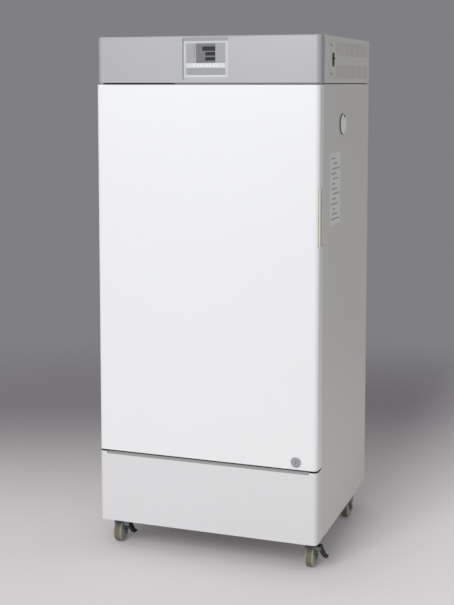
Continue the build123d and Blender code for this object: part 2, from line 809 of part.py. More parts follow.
# Lower front panel: a tray with a sloped recess along its top front edge
bevel_end_gap = 25.0
bevel_height = 7.7
bevel_depth = 8.0
bevel_half = half_width - bevel_end_gap


def bevel(grown, mode=Mode.SUBTRACT):
    """The sloped cut along the panel's top edge, grown by the sheet for the inside."""
    slope = [
        (front_y, panel_top_z - bevel_height - 2 * grown),
        (front_y + bevel_depth + 2 * grown, panel_top_z),
        (front_y, panel_top_z),
    ]
    with BuildSketch(Plane.YZ.offset(-bevel_half - grown)) as section:
        with BuildLine():
            Polyline(*slope, close=True)
        make_face()
    extrude(section.sketch, amount=2 * (bevel_half + grown), mode=mode)


with BuildPart() as panel_inside:
    front_tray_plan(
        front_y + sheet,
        body_front_y,
        half_width - sheet,
        front_corner_radius - sheet,
        panel_bottom_z + sheet,
        panel_top_z - sheet,
    )
    bevel(sheet)
with BuildPart() as lower_front_panel:
    front_tray_plan(front_y, body_front_y, half_width, front_corner_radius, panel_bottom_z, panel_top_z)
    bevel(0)
    add(panel_inside.part, mode=Mode.SUBTRACT)
    cam_slot(panel_top_z - sheet)
    block(
        (-half_width + sheet, body_front_y - hinge_plate - small_gap, panel_top_z - 2 * sheet),
        (hinge_x + 2 * hinge_nose + small_gap, body_front_y, panel_top_z),
        mode=Mode.SUBTRACT,
    )
write(lower_front_panel.part, "lower_front_panel")

# Door: folded outer shell, inner liner with its raised panel, foam, gasket, grip and lock
door_lip = 15.0
liner_sheet = 1.0
liner_margin = 7.0
dyke_margin = 20.0
dyke_height = 6.0
dyke_taper = 25.0
gasket_width = 22.0
gasket_margin = 17.0
gasket_step = 5.0
gasket_base = 1.5
rosette_thickness = 2.0
rosette_chamfer = 1.0
plug_proud = 0.6


def grip_pocket():
    """The space that the grip moulding takes out of the door's right edge."""
    block(
        (grip_floor_x - grip_wall, grip_inner_y - grip_wall / 2, grip_bottom_z),
        (half_width + sheet, door_back_y, grip_top_z),
        mode=Mode.SUBTRACT,
    )
    block(
        (half_width - grip_wall, front_y, grip_bottom_z),
        (half_width + sheet, grip_inner_y, grip_top_z),
        mode=Mode.SUBTRACT,
    )


with BuildPart() as door_shell:
    front_tray_plan(front_y, door_back_y, half_width, front_corner_radius, door_bottom_z, door_top_z)
    front_tray_plan(
        front_y + sheet,
        door_back_y - sheet,
        half_width - sheet,
        front_corner_radius - sheet,
        door_bottom_z + sheet,
        door_top_z - sheet,
        mode=Mode.SUBTRACT,
    )
    block(
        (-half_width + door_lip, door_back_y - 2 * sheet, door_bottom_z + door_lip),
        (half_width - door_lip, door_back_y, door_top_z - door_lip),
        mode=Mode.SUBTRACT,
    )
    for edge_z, up in hinge_sides:
        start = (hinge_x, hinge_y, edge_z + up * sheet)
        rod(start, (0, 0, -up), bush_radius, 3 * sheet, mode=Mode.SUBTRACT)
    rod((lock_x, front_y, lock_z), (0, 1, 0), lock_barrel / 2, 2 * sheet, mode=Mode.SUBTRACT)
    grip_pocket()
    cam_slot(door_bottom_z)
write(door_shell.part, "door_shell")

with BuildPart() as door_grip:
    block(
        (grip_floor_x - grip_wall, grip_inner_y - grip_wall / 2, grip_bottom_z),
        (half_width, door_back_y, grip_top_z),
    )
    block((half_width - grip_wall, grip_lip_y, grip_bottom_z), (half_width, grip_inner_y, grip_top_z))
    grip_hollow(0, Mode.SUBTRACT)
write(door_grip.part, "door_grip")

with BuildPart() as door_insulation:
    front_tray_plan(
        front_y + sheet,
        door_back_y - sheet,
        half_width - sheet,
        front_corner_radius - sheet,
        door_bottom_z + sheet,
        door_top_z - sheet,
    )
    grip_pocket()
    hinge_room = bush_radius + small_gap
    hinge_depth = sheet + hinge_pin_length + bush_wall + small_gap
    for edge_z, up in hinge_sides:
        low_z, high_z = sorted((edge_z, edge_z - up * hinge_depth))
        block(
            (hinge_x - hinge_room, hinge_y - hinge_room, low_z),
            (hinge_x + hinge_room, hinge_y + hinge_room, high_z),
            mode=Mode.SUBTRACT,
        )
    cam_reach = cam_length + cam_room
    block(
        (lock_x - cam_reach, front_y + sheet, door_bottom_z),
        (lock_x + lock_barrel / 2 + cam_room, door_back_y, lock_z + lock_barrel / 2 + cam_room),
        mode=Mode.SUBTRACT,
    )
write(door_insulation.part, "door_insulation")

liner_y = door_back_y + liner_sheet
with BuildPart() as door_liner:
    block(
        (-half_width + liner_margin, door_back_y, door_bottom_z + liner_margin),
        (half_width - liner_margin, liner_y, door_top_z - liner_margin),
    )
    for grown, start_y, mode in ((0, liner_y, Mode.ADD), (liner_sheet, door_back_y, Mode.SUBTRACT)):
        dyke_plane = Plane(origin=(0, start_y, mouth_middle_z), x_dir=(1, 0, 0), z_dir=(0, 1, 0))
        inset = 2 * (dyke_margin + grown)
        with BuildSketch(dyke_plane) as dyke:
            Rectangle(chamber_width - inset, chamber_height - inset)
        extrude(dyke.sketch, amount=dyke_height, taper=dyke_taper, mode=mode)
write(door_liner.part, "door_liner")

gasket_y = body_front_y - seat_gap
with BuildPart() as door_gasket:
    gasket_z = (door_bottom_z + door_top_z) / 2
    gasket_outer = (cabinet_width - 2 * gasket_margin, door_height - 2 * gasket_margin)
    gasket_base_y = liner_y + gasket_base
    for grown, start_y, end_y in ((0, liner_y, gasket_base_y), (gasket_step, gasket_base_y, gasket_y)):
        with Locations((0, (start_y + end_y) / 2, gasket_z)):
            Box(gasket_outer[0] - 2 * grown, end_y - start_y, gasket_outer[1] - 2 * grown)
            inner_width = gasket_outer[0] - 2 * gasket_width + 2 * grown
            inner_height = gasket_outer[1] - 2 * gasket_width + 2 * grown
            Box(inner_width, end_y - start_y, inner_height, mode=Mode.SUBTRACT)
write(door_gasket.part, "door_gasket")

with BuildPart() as lock_body:
    rod((lock_x, front_y - rosette_thickness, lock_z), (0, 1, 0), lock_rosette / 2, rosette_thickness)
    chamfer(edges().group_by(Axis.Y)[0], rosette_chamfer)
    rod((lock_x, front_y, lock_z), (0, 1, 0), lock_barrel / 2, lock_depth - cam_room)
    plug_room = lock_plug / 2 + pin_clearance
    rod((lock_x, front_y - rosette_thickness, lock_z), (0, 1, 0), plug_room, lock_depth, mode=Mode.SUBTRACT)
write(lock_body.part, "lock_body")

with BuildPart() as lock_cylinder:
    plug_start = (lock_x, front_y - rosette_thickness - plug_proud, lock_z)
    rod(plug_start, (0, 1, 0), lock_plug / 2, cam_front_y - plug_start[1])
    with BuildSketch(Plane.XZ.offset(-cam_front_y - cam_thickness)) as cam:
        with Locations((lock_x - cam_length / 2 + cam_width / 4, lock_z)):
            SlotOverall(cam_length + cam_width / 2, cam_width)
    extrude(cam.sketch, amount=cam_thickness)
    with Locations(plug_start):
        Box(key_slot[0], 2 * key_slot_depth, key_slot[1], mode=Mode.SUBTRACT)
write(lock_cylinder.part, "lock_cylinder")

# Inner glass door: pane, two bonded hinge leaves with their pins, and a bonded pull
pane_overlap = 8.0
pane_hinge_overlap = 4.0
pane_height_overlap = 6.0
leaf_height = 26.0
leaf_length = 36.0
leaf_thickness = 2.0
barrel_diameter = 8.0
pull_size = (10.0, 90.0)
pull_reach = 9.0
pull_foot = 10.0
pull_thickness = 3.0
pull_inset = 14.0
pane_left_x = -chamber_x - pane_hinge_overlap
inner_hinge_sides = ((chamber_top_z, 1), (chamber_bottom_z, -1))

with BuildPart() as inner_door_pane:
    block(
        (pane_left_x, pane_front_y, chamber_bottom_z - pane_height_overlap),
        (chamber_x + pane_overlap, pane_back_y, chamber_top_z + pane_height_overlap),
    )
write(inner_door_pane.part, "inner_door_pane")

fitting_pieces = []
for edge_z, up in inner_hinge_sides:
    with BuildPart() as hinge_leaf:
        barrel_start = (inner_hinge_x, inner_hinge_y, edge_z - up * leaf_height)
        barrel_length = leaf_height + rebate_width - seat_gap
        rod(barrel_start, (0, 0, up), barrel_diameter / 2, barrel_length)
        rod(barrel_start, (0, 0, up), inner_pin_diameter / 2, barrel_length + inner_pin_length)
        low_z, high_z = sorted((edge_z, edge_z - up * leaf_height))
        block(
            (inner_hinge_x, pane_front_y - leaf_thickness, low_z),
            (inner_hinge_x + leaf_length, pane_front_y, high_z),
        )
    fitting_pieces.append(hinge_leaf.part)
with BuildPart() as pane_pull:
    pull_x = chamber_x - pull_inset
    pull_low_z = mouth_middle_z - pull_size[1] / 2
    pull_high_z = mouth_middle_z + pull_size[1] / 2
    pull_low_x = pull_x - pull_size[0] / 2
    pull_high_x = pull_x + pull_size[0] / 2
    block((pull_low_x, pane_front_y - pull_reach, pull_low_z), (pull_high_x, pane_front_y, pull_high_z))
    block(
        (pull_low_x, pane_front_y - pull_reach + pull_thickness, pull_low_z + pull_foot),
        (pull_high_x, pane_front_y, pull_high_z - pull_foot),
        mode=Mode.SUBTRACT,
    )
fitting_pieces.append(pane_pull.part)
write_set(fitting_pieces, "inner_door_fittings")

# Top cover: a box open below, with the vents and the breaker's opening in its right side
vent_slot = (4.0, 40.0)
vent_drops = [103.5, 35.8]
vent_front_gap = 141.0
vent_rear_gap = 33.5
vent_count = 25
breaker_setback = 99.0
breaker_drop = 69.0
breaker_opening = (28.0, 40.0)
breaker_plate = (89.2, 110.0)
breaker_plate_thickness = 1.0
breaker_plate_shift = (-8.8, 2.0)
breaker_case = (34.0, 36.0, 58.0)
cable_way = (100.0, 50.0)
controller_x = -1.8
controller_drop = 68.5
vent_first_y = body_front_y + vent_front_gap
vent_last_y = rear_y - vent_rear_gap
vent_pitch = (vent_last_y - vent_first_y) / (vent_count - 1)
breaker_y = body_front_y + breaker_setback
breaker_z = cabinet_height - breaker_drop
controller_z = cabinet_height - controller_drop

with BuildPart() as top_cover:
    block((-half_width, body_front_y, cover_bottom_z), (half_width, rear_y, cabinet_height))
    front_bends = edges().filter_by(Axis.Z).group_by(Axis.Y)[0]
    fillet(front_bends, cover_bend_radius)
    with BuildSketch(Plane.XY.offset(cover_bottom_z)) as cover_room:
        with Locations((0, (body_front_y + rear_y) / 2)):
            Rectangle(cabinet_width - 2 * sheet, rear_y - body_front_y - 2 * sheet)
        fillet(cover_room.vertices().group_by(Axis.Y)[0], cover_bend_radius - sheet)
    extrude(cover_room.sketch, amount=cabinet_height - sheet - cover_bottom_z, mode=Mode.SUBTRACT)
    for drop in vent_drops:
        with Locations((half_width, (vent_first_y + vent_last_y) / 2, cabinet_height - drop)):
            with GridLocations(1, vent_pitch, 1, vent_count):
                Box(4 * sheet, *vent_slot, mode=Mode.SUBTRACT)
    with Locations((half_width, breaker_y, breaker_z)):
        Box(4 * sheet, *breaker_opening, mode=Mode.SUBTRACT)
    with Locations((controller_x, body_front_y, controller_z)):
        Box(cable_way[0], 4 * sheet, cable_way[1], mode=Mode.SUBTRACT)
write(top_cover.part, "top_cover")

# Breaker: case behind the opening, blank plate around it outside, and a toggle
toggle_inset = 6.0
toggle_radius = 7.0
toggle_width = 10.0
toggle_reach = 11.0
toggle_thickness = 6.0
toggle_tilt = 20.0
toggle_x = half_width - toggle_inset

with BuildPart() as breaker_case_body:
    case_back_x = half_width - sheet - breaker_case[0]
    block(
        (case_back_x, breaker_y - breaker_case[1] / 2, breaker_z - breaker_case[2] / 2),
        (half_width - sheet, breaker_y + breaker_case[1] / 2, breaker_z + breaker_case[2] / 2),
    )
    toggle_room = toggle_width / 2 + seat_gap
    rod(
        (toggle_x, breaker_y - toggle_room, breaker_z),
        (0, 1, 0),
        toggle_radius + seat_gap,
        2 * toggle_room,
        mode=Mode.SUBTRACT,
    )
    with Locations((half_width - sheet, breaker_y, breaker_z)):
        Box(2 * toggle_reach, 2 * toggle_room, 3.4 * toggle_radius, mode=Mode.SUBTRACT)
with BuildPart() as breaker_cover_plate:
    plate_y = breaker_y + breaker_plate_shift[0]
    plate_z = breaker_z + breaker_plate_shift[1]
    with Locations((half_width + breaker_plate_thickness / 2, plate_y, plate_z)):
        Box(breaker_plate_thickness, *breaker_plate)
    with Locations((half_width, breaker_y, breaker_z)):
        Box(4 * sheet, *breaker_opening, mode=Mode.SUBTRACT)
write_set([breaker_case_body.part, breaker_cover_plate.part], "breaker_body")

with BuildPart() as breaker_toggle:
    rod((toggle_x, breaker_y - toggle_width / 2, breaker_z), (0, 1, 0), toggle_radius, toggle_width)
    toggle_pitch = radians(toggle_tilt)
    toggle_middle = (
        toggle_x + toggle_reach / 2 * cos(toggle_pitch),
        breaker_y,
        breaker_z + toggle_reach / 2 * sin(toggle_pitch),
    )
    with Locations(Location(toggle_middle, (0, -toggle_tilt, 0))):
        Box(toggle_reach, toggle_width, toggle_thickness)
write(breaker_toggle.part, "breaker_toggle")

# Control fascia: a moulded tray with a sunk, sloped surround for the controller
surround_opening = (142.0, 128.8)
rim_outline = (139.2, 108.0)
surround_depth = 5.3
rim_lip = 1.5


def centred_slope(front_size, back_size, start, end, mode):
    """A tapered block around the controller's middle, from one rectangle to another along Y."""
    faces = []
    for size, place_y in ((front_size, start), (back_size, end)):
        face_plane = Plane(origin=(controller_x, place_y, controller_z), x_dir=(1, 0, 0), z_dir=(0, 1, 0))
        with BuildSketch(face_plane) as face:
            Rectangle(*size)
        faces.append(face.sketch)
    loft(faces, mode=mode)


def centred_block(size, start, end, mode=Mode.ADD):
    """A straight block around the controller's middle, between two places along Y."""
    with Locations((controller_x, (start + end) / 2, controller_z)):
        Box(size[0], end - start, size[1], mode=mode)


def fascia_form(grown):
    """The fascia's outer shape, moved inwards by a wall thickness."""
    bevel_size = fascia_bevel - grown * (2 - sqrt(2))
    with BuildPart() as form:
        front_tray_plan(
            fascia_y + grown,
            body_front_y,
            half_width - grown,
            fascia_corner_radius - grown,
            fascia_bottom_z + grown,
            cabinet_height - grown,
        )
        top_edges = form.edges().group_by(Axis.Z)[-1].sort_by(Axis.Y)[:-1]
        chamfer(top_edges, bevel_size)
    return form.part


rim_front_y = fascia_y + surround_depth
surround_back_y = rim_front_y + rim_lip
with BuildPart() as control_fascia:
    add(fascia_form(0))
    add(fascia_form(fascia_wall), mode=Mode.SUBTRACT)
    surround_outer = [size + 2 * fascia_wall for size in rim_outline]
    front_outer = [size + 2 * fascia_wall for size in surround_opening]
    front_outer[1] = surround_opening[1]
    centred_slope(front_outer, surround_outer, fascia_y, surround_back_y, Mode.ADD)
    centred_slope(surround_opening, rim_outline, fascia_y, rim_front_y, Mode.SUBTRACT)
    centred_block(rim_outline, fascia_y, surround_back_y + sheet, Mode.SUBTRACT)
    block(
        (-half_width + fascia_wall, body_front_y - hinge_plate - small_gap, fascia_bottom_z - sheet),
        (hinge_x + 2 * hinge_nose + small_gap, body_front_y, fascia_bottom_z + fascia_wall),
        mode=Mode.SUBTRACT,
    )
write(control_fascia.part, "control_fascia")

# Controller bezel: raised rim around a sunk face, with the window and key apertures
rim_inner = (127.0, 98.8)
face_size = (122.0, 93.0)
face_recess = 0.9
face_thickness = 2.6
bezel_flange = (148.0, 117.0)
window_size = (60.5, 57.0)
window_shift = (0.3, 18.0)
window_thickness = 1.0
window_ledge = 1.0
key_pitch = 20.0
key_shift = (-0.6, -17.7)
key_size = (17.0, 11.0)
key_proud = 0.4
key_flange = (18.6, 13.0)
key_flange_thickness = 1.0
key_stem = 5.0
key_travel = 0.8
lamp_shift = -35.5
lamp_rises = [36.1, 29.4, 22.5, 14.9, 8.2]
lamp_size = 2.4
board_gap = 6.7
board_post = 6.0
board_post_reach = (50.0, 42.0)
board_size = (124.0, 98.0)
board_thickness = 1.6

face_y = rim_front_y + face_recess
face_back_y = face_y + face_thickness
board_y = face_back_y + board_gap
window_x = controller_x + window_shift[0]
window_z = controller_z + window_shift[1]
key_z = controller_z + key_shift[1]
key_places_x = [controller_x + key_shift[0] + (number - 1.5) * key_pitch for number in range(4)]
lamp_x = controller_x + lamp_shift
lamp_heights = [controller_z + rise for rise in lamp_rises]

with BuildPart() as controller_bezel:
    rim_outer = [size - 2 * small_gap for size in rim_outline]
    centred_block(rim_outer, rim_front_y, face_back_y)
    centred_block(bezel_flange, surround_back_y, face_back_y)
    centred_slope(rim_inner, face_size, rim_front_y, face_y, Mode.SUBTRACT)
    with Locations((controller_x, (face_back_y + board_y) / 2, controller_z)):
        for corner_x, corner_z in ((-1, -1), (1, -1), (1, 1), (-1, 1)):
            with Locations((corner_x * board_post_reach[0], 0, corner_z * board_post_reach[1])):
                Box(board_post, board_y - face_back_y, board_post)
    with Locations((window_x, face_y, window_z)):
        Box(window_size[0], 2 * window_thickness, window_size[1], mode=Mode.SUBTRACT)
        aperture = [size - 2 * window_ledge for size in window_size]
        Box(aperture[0], 3 * face_thickness, aperture[1], mode=Mode.SUBTRACT)
    key_room = [size + 2 * small_gap for size in key_size]
    for key_x in key_places_x:
        with Locations((key_x, face_y, key_z)):
            Box(key_room[0], 3 * face_thickness, key_room[1], mode=Mode.SUBTRACT)
    lamp_room = lamp_size + 2 * pin_clearance
    for lamp_z in lamp_heights:
        with Locations((lamp_x, face_y, lamp_z)):
            Box(lamp_room, 3 * face_thickness, lamp_room, mode=Mode.SUBTRACT)
write(controller_bezel.part, "controller_bezel")

with BuildPart() as display_window:
    with Locations((window_x, face_y + window_thickness / 2, window_z)):
        Box(window_size[0], window_thickness, window_size[1])
write(display_window.part, "display_window")

# Keys: caps that end in a collar behind the bezel, each over a switch on the board
switch_height = 4.0
switch_size = 6.0
for number, key_x in enumerate(key_places_x, start=1):
    with BuildPart() as key:
        cap_front_y = face_y - key_proud
        collar_y = face_back_y + pin_clearance
        with Locations((key_x, (cap_front_y + collar_y) / 2, key_z)):
            Box(key_size[0], collar_y - cap_front_y, key_size[1])
        with Locations((key_x, collar_y + key_flange_thickness / 2, key_z)):
            Box(key_flange[0], key_flange_thickness, key_flange[1])
        stem_end_y = board_y - switch_height - key_travel - pin_clearance
        with Locations((key_x, (collar_y + stem_end_y) / 2, key_z)):
            Box(key_stem, stem_end_y - collar_y, key_stem)
    write(key.part, f"key_{number}")

# Control board with its digit displays, lamps, switches and terminal block
digit_blocks = [(9.3, 31.5, 39.8, 12.3), (14.0, 16.2, 30.5, 10.2), (14.0, 1.5, 30.5, 9.7)]
terminal_block = (80.0, 12.0, 14.0)
terminal_drop = 30.0

with BuildPart() as control_board:
    centred_block(board_size, board_y, board_y + board_thickness)
    digit_front_y = face_y + window_thickness + small_gap
    for shift_x, shift_z, digit_width, digit_height in digit_blocks:
        with Locations((controller_x + shift_x, (digit_front_y + board_y) / 2, controller_z + shift_z)):
            Box(digit_width, board_y - digit_front_y, digit_height)
    for lamp_z in lamp_heights:
        with Locations((lamp_x, (face_y + board_y) / 2, lamp_z)):
            Box(lamp_size, board_y - face_y, lamp_size)
    for key_x in key_places_x:
        with Locations((key_x, board_y - switch_height / 2, key_z)):
            Box(switch_size, switch_height, switch_size)
    terminal_y = board_y + board_thickness + terminal_block[1] / 2
    with Locations((controller_x, terminal_y, controller_z - terminal_drop)):
        Box(*terminal_block)
write(control_board.part, "control_board")

# Casters: plate, race and kingpin fixed; fork, wheel and brake lever move
caster_inset = 36.5
caster_front_gap = 53.0
caster_rear_gap = 83.9
caster_trail = 28.0
wheel_diameter = 65.0
wheel_width = 27.0
wheel_hub_width = 28.0
wheel_hub_radius = 9.0
wheel_dish_half = 10.0
wheel_dish_radius = 12.0
wheel_crown = 3.0
caster_plate = (70.0, 60.0, 3.0)
race_diameter = 46.0
kingpin_diameter = 12.0
kingpin_head = 18.0
kingpin_head_thickness = 3.0
fork_plate = 3.0
fork_half = 17.5
fork_leg = 2.5
fork_reach = (40.0, 18.0)
fork_cheek = 6.0
fork_end = 10.0
fork_top_z = 81.0
axle_diameter = 8.0
axle_nut = 13.0
axle_nut_thickness = 4.0
brake_pivot = (27.0, 27.5)
brake_tip = (52.0, 0.5)
brake_width = 22.0
brake_pin = 5.0
brake_ear = 6.0
brake_window = (6.0, 26.0)
race_bottom_z = fork_top_z + seat_gap
fork_under_z = fork_top_z - fork_plate
wheel_radius = wheel_diameter / 2
caster_x = half_width - caster_inset
front_caster_y = body_front_y + caster_front_gap
rear_caster_y = rear_y - caster_rear_gap
caster_places = {
    "front_left": (-1, front_caster_y),
    "front_right": (1, front_caster_y),
    "rear_left": (-1, rear_caster_y),
    "rear_right": (1, rear_caster_y),
}


mount_pieces = []
for side, swivel_y in caster_places.values():
    with BuildPart() as caster_mount:
        plate_bottom_z = panel_bottom_z - caster_plate[2]
        with Locations((side * caster_x, swivel_y, panel_bottom_z - caster_plate[2] / 2)):
            Box(*caster_plate)
        race_start = (side * caster_x, swivel_y, race_bottom_z)
        rod(race_start, (0, 0, 1), race_diameter / 2, plate_bottom_z - race_bottom_z)
        head_top_z = fork_under_z - seat_gap
        kingpin_start = (side * caster_x, swivel_y, head_top_z)
        rod(kingpin_start, (0, 0, 1), kingpin_diameter / 2, race_bottom_z - head_top_z)
        hexagon(kingpin_start, (0, 0, -1), kingpin_head, kingpin_head_thickness)
    mount_pieces.append(caster_mount.part)
write_set(mount_pieces, "caster_mounts")

for place, (side, swivel_y) in caster_places.items():
    swivel_x = side * caster_x
    axle_y = swivel_y - caster_trail
    fork_front_y = swivel_y - fork_reach[0]
    fork_back_y = swivel_y + fork_reach[1]
    braked = place.startswith("front")
    pivot_x = swivel_x + brake_pivot[0]
    pivot_z = wheel_radius + brake_pivot[1]
    with BuildPart() as fork:
        block(
            (swivel_x - fork_half, fork_front_y, fork_under_z),
            (swivel_x + fork_half, fork_back_y, fork_top_z),
        )
        leg = [
            (fork_front_y, fork_top_z),
            (fork_back_y, fork_top_z),
            (fork_back_y, fork_under_z - fork_cheek),
            (axle_y + fork_end, wheel_radius),
            (axle_y + fork_end / 2, wheel_radius - fork_end),
            (axle_y - fork_end / 2, wheel_radius - fork_end),
            (axle_y - fork_end, wheel_radius),
        ]
        for leg_x in (swivel_x - fork_half, swivel_x + fork_half - fork_leg):
            with BuildSketch(Plane.YZ.offset(leg_x)) as leg_face:
                with BuildLine():
                    Polyline(*leg, close=True)
                make_face()
            extrude(leg_face.sketch, amount=fork_leg)
        rod(
            (swivel_x, swivel_y, fork_under_z),
            (0, 0, 1),
            kingpin_diameter / 2 + pin_clearance,
            fork_plate,
            mode=Mode.SUBTRACT,
        )
        axle_reach = fork_half + axle_nut_thickness
        rod((swivel_x - axle_reach, axle_y, wheel_radius), (1, 0, 0), axle_diameter / 2, 2 * axle_reach)
        for nut_side in (-1, 1):
            nut_start = (swivel_x + nut_side * fork_half, axle_y, wheel_radius)
            hexagon(nut_start, (nut_side, 0, 0), axle_nut, axle_nut_thickness)
        if braked:
            ear_reach = brake_width / 2 + small_gap
            for ear_y in (axle_y - ear_reach - fork_leg, axle_y + ear_reach):
                block(
                    (swivel_x + fork_half - fork_leg, ear_y, pivot_z - brake_ear),
                    (pivot_x + brake_ear, ear_y + fork_leg, pivot_z + brake_ear),
                )
            pin_reach = ear_reach + fork_leg
            rod((pivot_x, axle_y - pin_reach, pivot_z), (0, 1, 0), brake_pin / 2, 2 * pin_reach)
            pad_way = brake_width / 4 + 2 * seat_gap
            block(
                (swivel_x + fork_half - fork_leg, axle_y - pad_way, pivot_z - brake_window[1]),
                (swivel_x + fork_half, axle_y + pad_way, pivot_z - brake_window[0]),
                mode=Mode.SUBTRACT,
            )
    write(fork.part, f"caster_fork_{place}")

    with BuildPart() as wheel:
        half = [
            (wheel_hub_width / 2, axle_diameter / 2 + pin_clearance),
            (wheel_hub_width / 2, wheel_hub_radius),
            (wheel_dish_half, wheel_dish_radius),
            (wheel_width / 2, wheel_radius - wheel_crown),
            (wheel_width / 2 - wheel_crown, wheel_radius),
        ]
        mirrored = [(-x, z) for x, z in reversed(half)]
        wheel_plane = Plane(origin=(swivel_x, axle_y, wheel_radius), x_dir=(1, 0, 0), z_dir=(0, -1, 0))
        with BuildSketch(wheel_plane) as wheel_section:
            with BuildLine():
                Polyline(*half, *mirrored, close=True)
            make_face()
        revolve(wheel_section.sketch, Axis((swivel_x, axle_y, wheel_radius), (1, 0, 0)))
    write(wheel.part, f"caster_wheel_{place}")

    if braked:
        with BuildPart() as brake_lever:
            tip_x = swivel_x + brake_tip[0]
            tip_z = wheel_radius + brake_tip[1]
            pad_x = swivel_x + wheel_width / 2 + seat_gap
            lever_side = Plane(origin=(0, axle_y - brake_width / 2, 0), x_dir=(1, 0, 0), z_dir=(0, -1, 0))
            with BuildSketch(lever_side) as arm:
                with BuildLine():
                    Polyline(
                        (pivot_x - 5, pivot_z - 2),
                        (pivot_x - 4, pivot_z + 5),
                        (pivot_x + 1, pivot_z + 8),
                        (pivot_x + 6, pivot_z + 2),
                        (tip_x - 8, tip_z + 6),
                        (tip_x, tip_z + 3),
                        (tip_x, tip_z),
                        (tip_x - 12, tip_z + 2),
                        (pivot_x + 1, pivot_z - 8),
                        close=True,
                    )
                make_face()
            extrude(arm.sketch, amount=-brake_width)
            with BuildSketch(lever_side.offset(-brake_width / 4)) as pad:
                with BuildLine():
                    Polyline(
                        (pad_x, pivot_z - 15),
                        (pad_x, pivot_z - 12),
                        (pivot_x - 3, pivot_z - 3),
                        (pivot_x + 3, pivot_z - 5),
                        close=True,
                    )
                make_face()
            extrude(pad.sketch, amount=-brake_width / 2)
            rod(
                (pivot_x, axle_y - brake_width / 2, pivot_z),
                (0, 1, 0),
                brake_pin / 2 + pin_clearance,
                brake_width,
                mode=Mode.SUBTRACT,
            )
        write(brake_lever.part, f"brake_lever_{place}")

# Refrigeration unit on the pan: compressor, condenser with its fan, and the pipes
compressor_inset = 190.0
compressor_back_gap = 100.5
compressor_diameter = 150.0
compressor_chamfer = 16.0
compressor_plate = (200.0, 130.0, 3.0)
compressor_foot = (20.0, 8.0)
compressor_foot_pitch = (170.0, 100.0)
compressor_box = (60.0, 50.0, 60.0)
compressor_box_rise = 60.0
compressor_headroom = 63.0
condenser_front_gap = 60.5
condenser_back_gap = 20.5
condenser_headroom = 33.0
condenser_margin = 8.0
cooling_fan_diameter = 150.0
cooling_fan_rise = 90.0
cooling_fan_gap = 21.0
cooling_motor = (70.0, 42.0)
cooling_motor_gap = 14.0
cooling_bracket = (95.0, 30.0)
suction_headroom = 23.0
discharge_headroom = 41.0
compressor_x = -half_width + compressor_inset
compressor_y = rear_y - compressor_back_gap
compressor_base_z = pan_top_z + compressor_foot[1] + compressor_plate[2]
compressor_top_z = deck_bottom_z - compressor_headroom
condenser_front_y = rear_y - condenser_front_gap
condenser_back_y = rear_y - condenser_back_gap
condenser_top_z = deck_bottom_z - condenser_headroom
condenser_low_x = condenser_x - condenser_width / 2
condenser_high_x = condenser_x + condenser_width / 2
cooling_fan_y = condenser_front_y - cooling_fan_gap
cooling_fan_z = pan_top_z + cooling_fan_rise
suction_run_z = deck_bottom_z - suction_headroom
discharge_run_z = deck_bottom_z - discharge_headroom

with BuildPart() as compressor:
    body_start = (compressor_x, compressor_y, compressor_base_z)
    rod(body_start, (0, 0, 1), compressor_diameter / 2, compressor_top_z - compressor_base_z)
    chamfer(compressor.edges().group_by(Axis.Z)[-1], compressor_chamfer)
    with Locations((compressor_x, compressor_y, compressor_base_z - compressor_plate[2] / 2)):
        Box(*compressor_plate)
    with Locations((compressor_x, compressor_y, pan_top_z + compressor_foot[1] / 2)):
        with GridLocations(*compressor_foot_pitch, 2, 2):
            Box(compressor_foot[0], compressor_foot[0], compressor_foot[1])
    box_y = compressor_y - compressor_diameter / 2
    with Locations((compressor_x, box_y, compressor_base_z + compressor_box_rise)):
        Box(*compressor_box)
write(compressor.part, "compressor")

with BuildPart() as condenser:
    coil_height = condenser_top_z - pan_top_z
    block(
        (condenser_low_x, condenser_front_y, pan_top_z),
        (condenser_high_x, condenser_back_y, condenser_top_z),
    )
    with Locations((condenser_x, condenser_front_y, pan_top_z + coil_height / 2)):
        with GridLocations(fin_pitch, 1, int(condenser_width / fin_pitch) - 1, 1):
            Box(fin_gap, 2 * fin_depth, coil_height - 2 * condenser_margin, mode=Mode.SUBTRACT)
    block((condenser_low_x, condenser_back_y, pan_top_z), (condenser_high_x, rear_sheet_y, condenser_top_z))
    block(
        (condenser_low_x + sheet, condenser_back_y, pan_top_z + sheet),
        (condenser_high_x - sheet, rear_sheet_y, condenser_top_z - sheet),
        mode=Mode.SUBTRACT,
    )
write(condenser.part, "condenser")

motor_back_y = cooling_fan_y - cooling_motor_gap
motor_front_y = motor_back_y - cooling_motor[1]
motor_shaft_y = motor_front_y + cooling_motor[1] / 4
bracket_low_z = cooling_fan_z - cooling_bracket[1] / 2
bracket_high_z = cooling_fan_z + cooling_bracket[1] / 2
with BuildPart() as condenser_fan_motor:
    rod((condenser_x, motor_front_y, cooling_fan_z), (0, 1, 0), cooling_motor[0] / 2, cooling_motor[1])
    block(
        (condenser_x - cooling_bracket[0], motor_front_y - bracket_sheet, bracket_low_z),
        (condenser_x + cooling_bracket[0], motor_front_y, bracket_high_z),
    )
    for side in (-1, 1):
        arm_x = side * cooling_bracket[0]
        low_x, high_x = sorted((condenser_x + arm_x, condenser_x + arm_x - side * bracket_sheet))
        block((low_x, motor_front_y, bracket_low_z), (high_x, condenser_front_y, bracket_high_z))
    shaft_start = (condenser_x, motor_shaft_y - small_gap, cooling_fan_z)
    rod(shaft_start, (0, 1, 0), shaft_room, cooling_motor[1], mode=Mode.SUBTRACT)
write(condenser_fan_motor.part, "condenser_fan_motor")

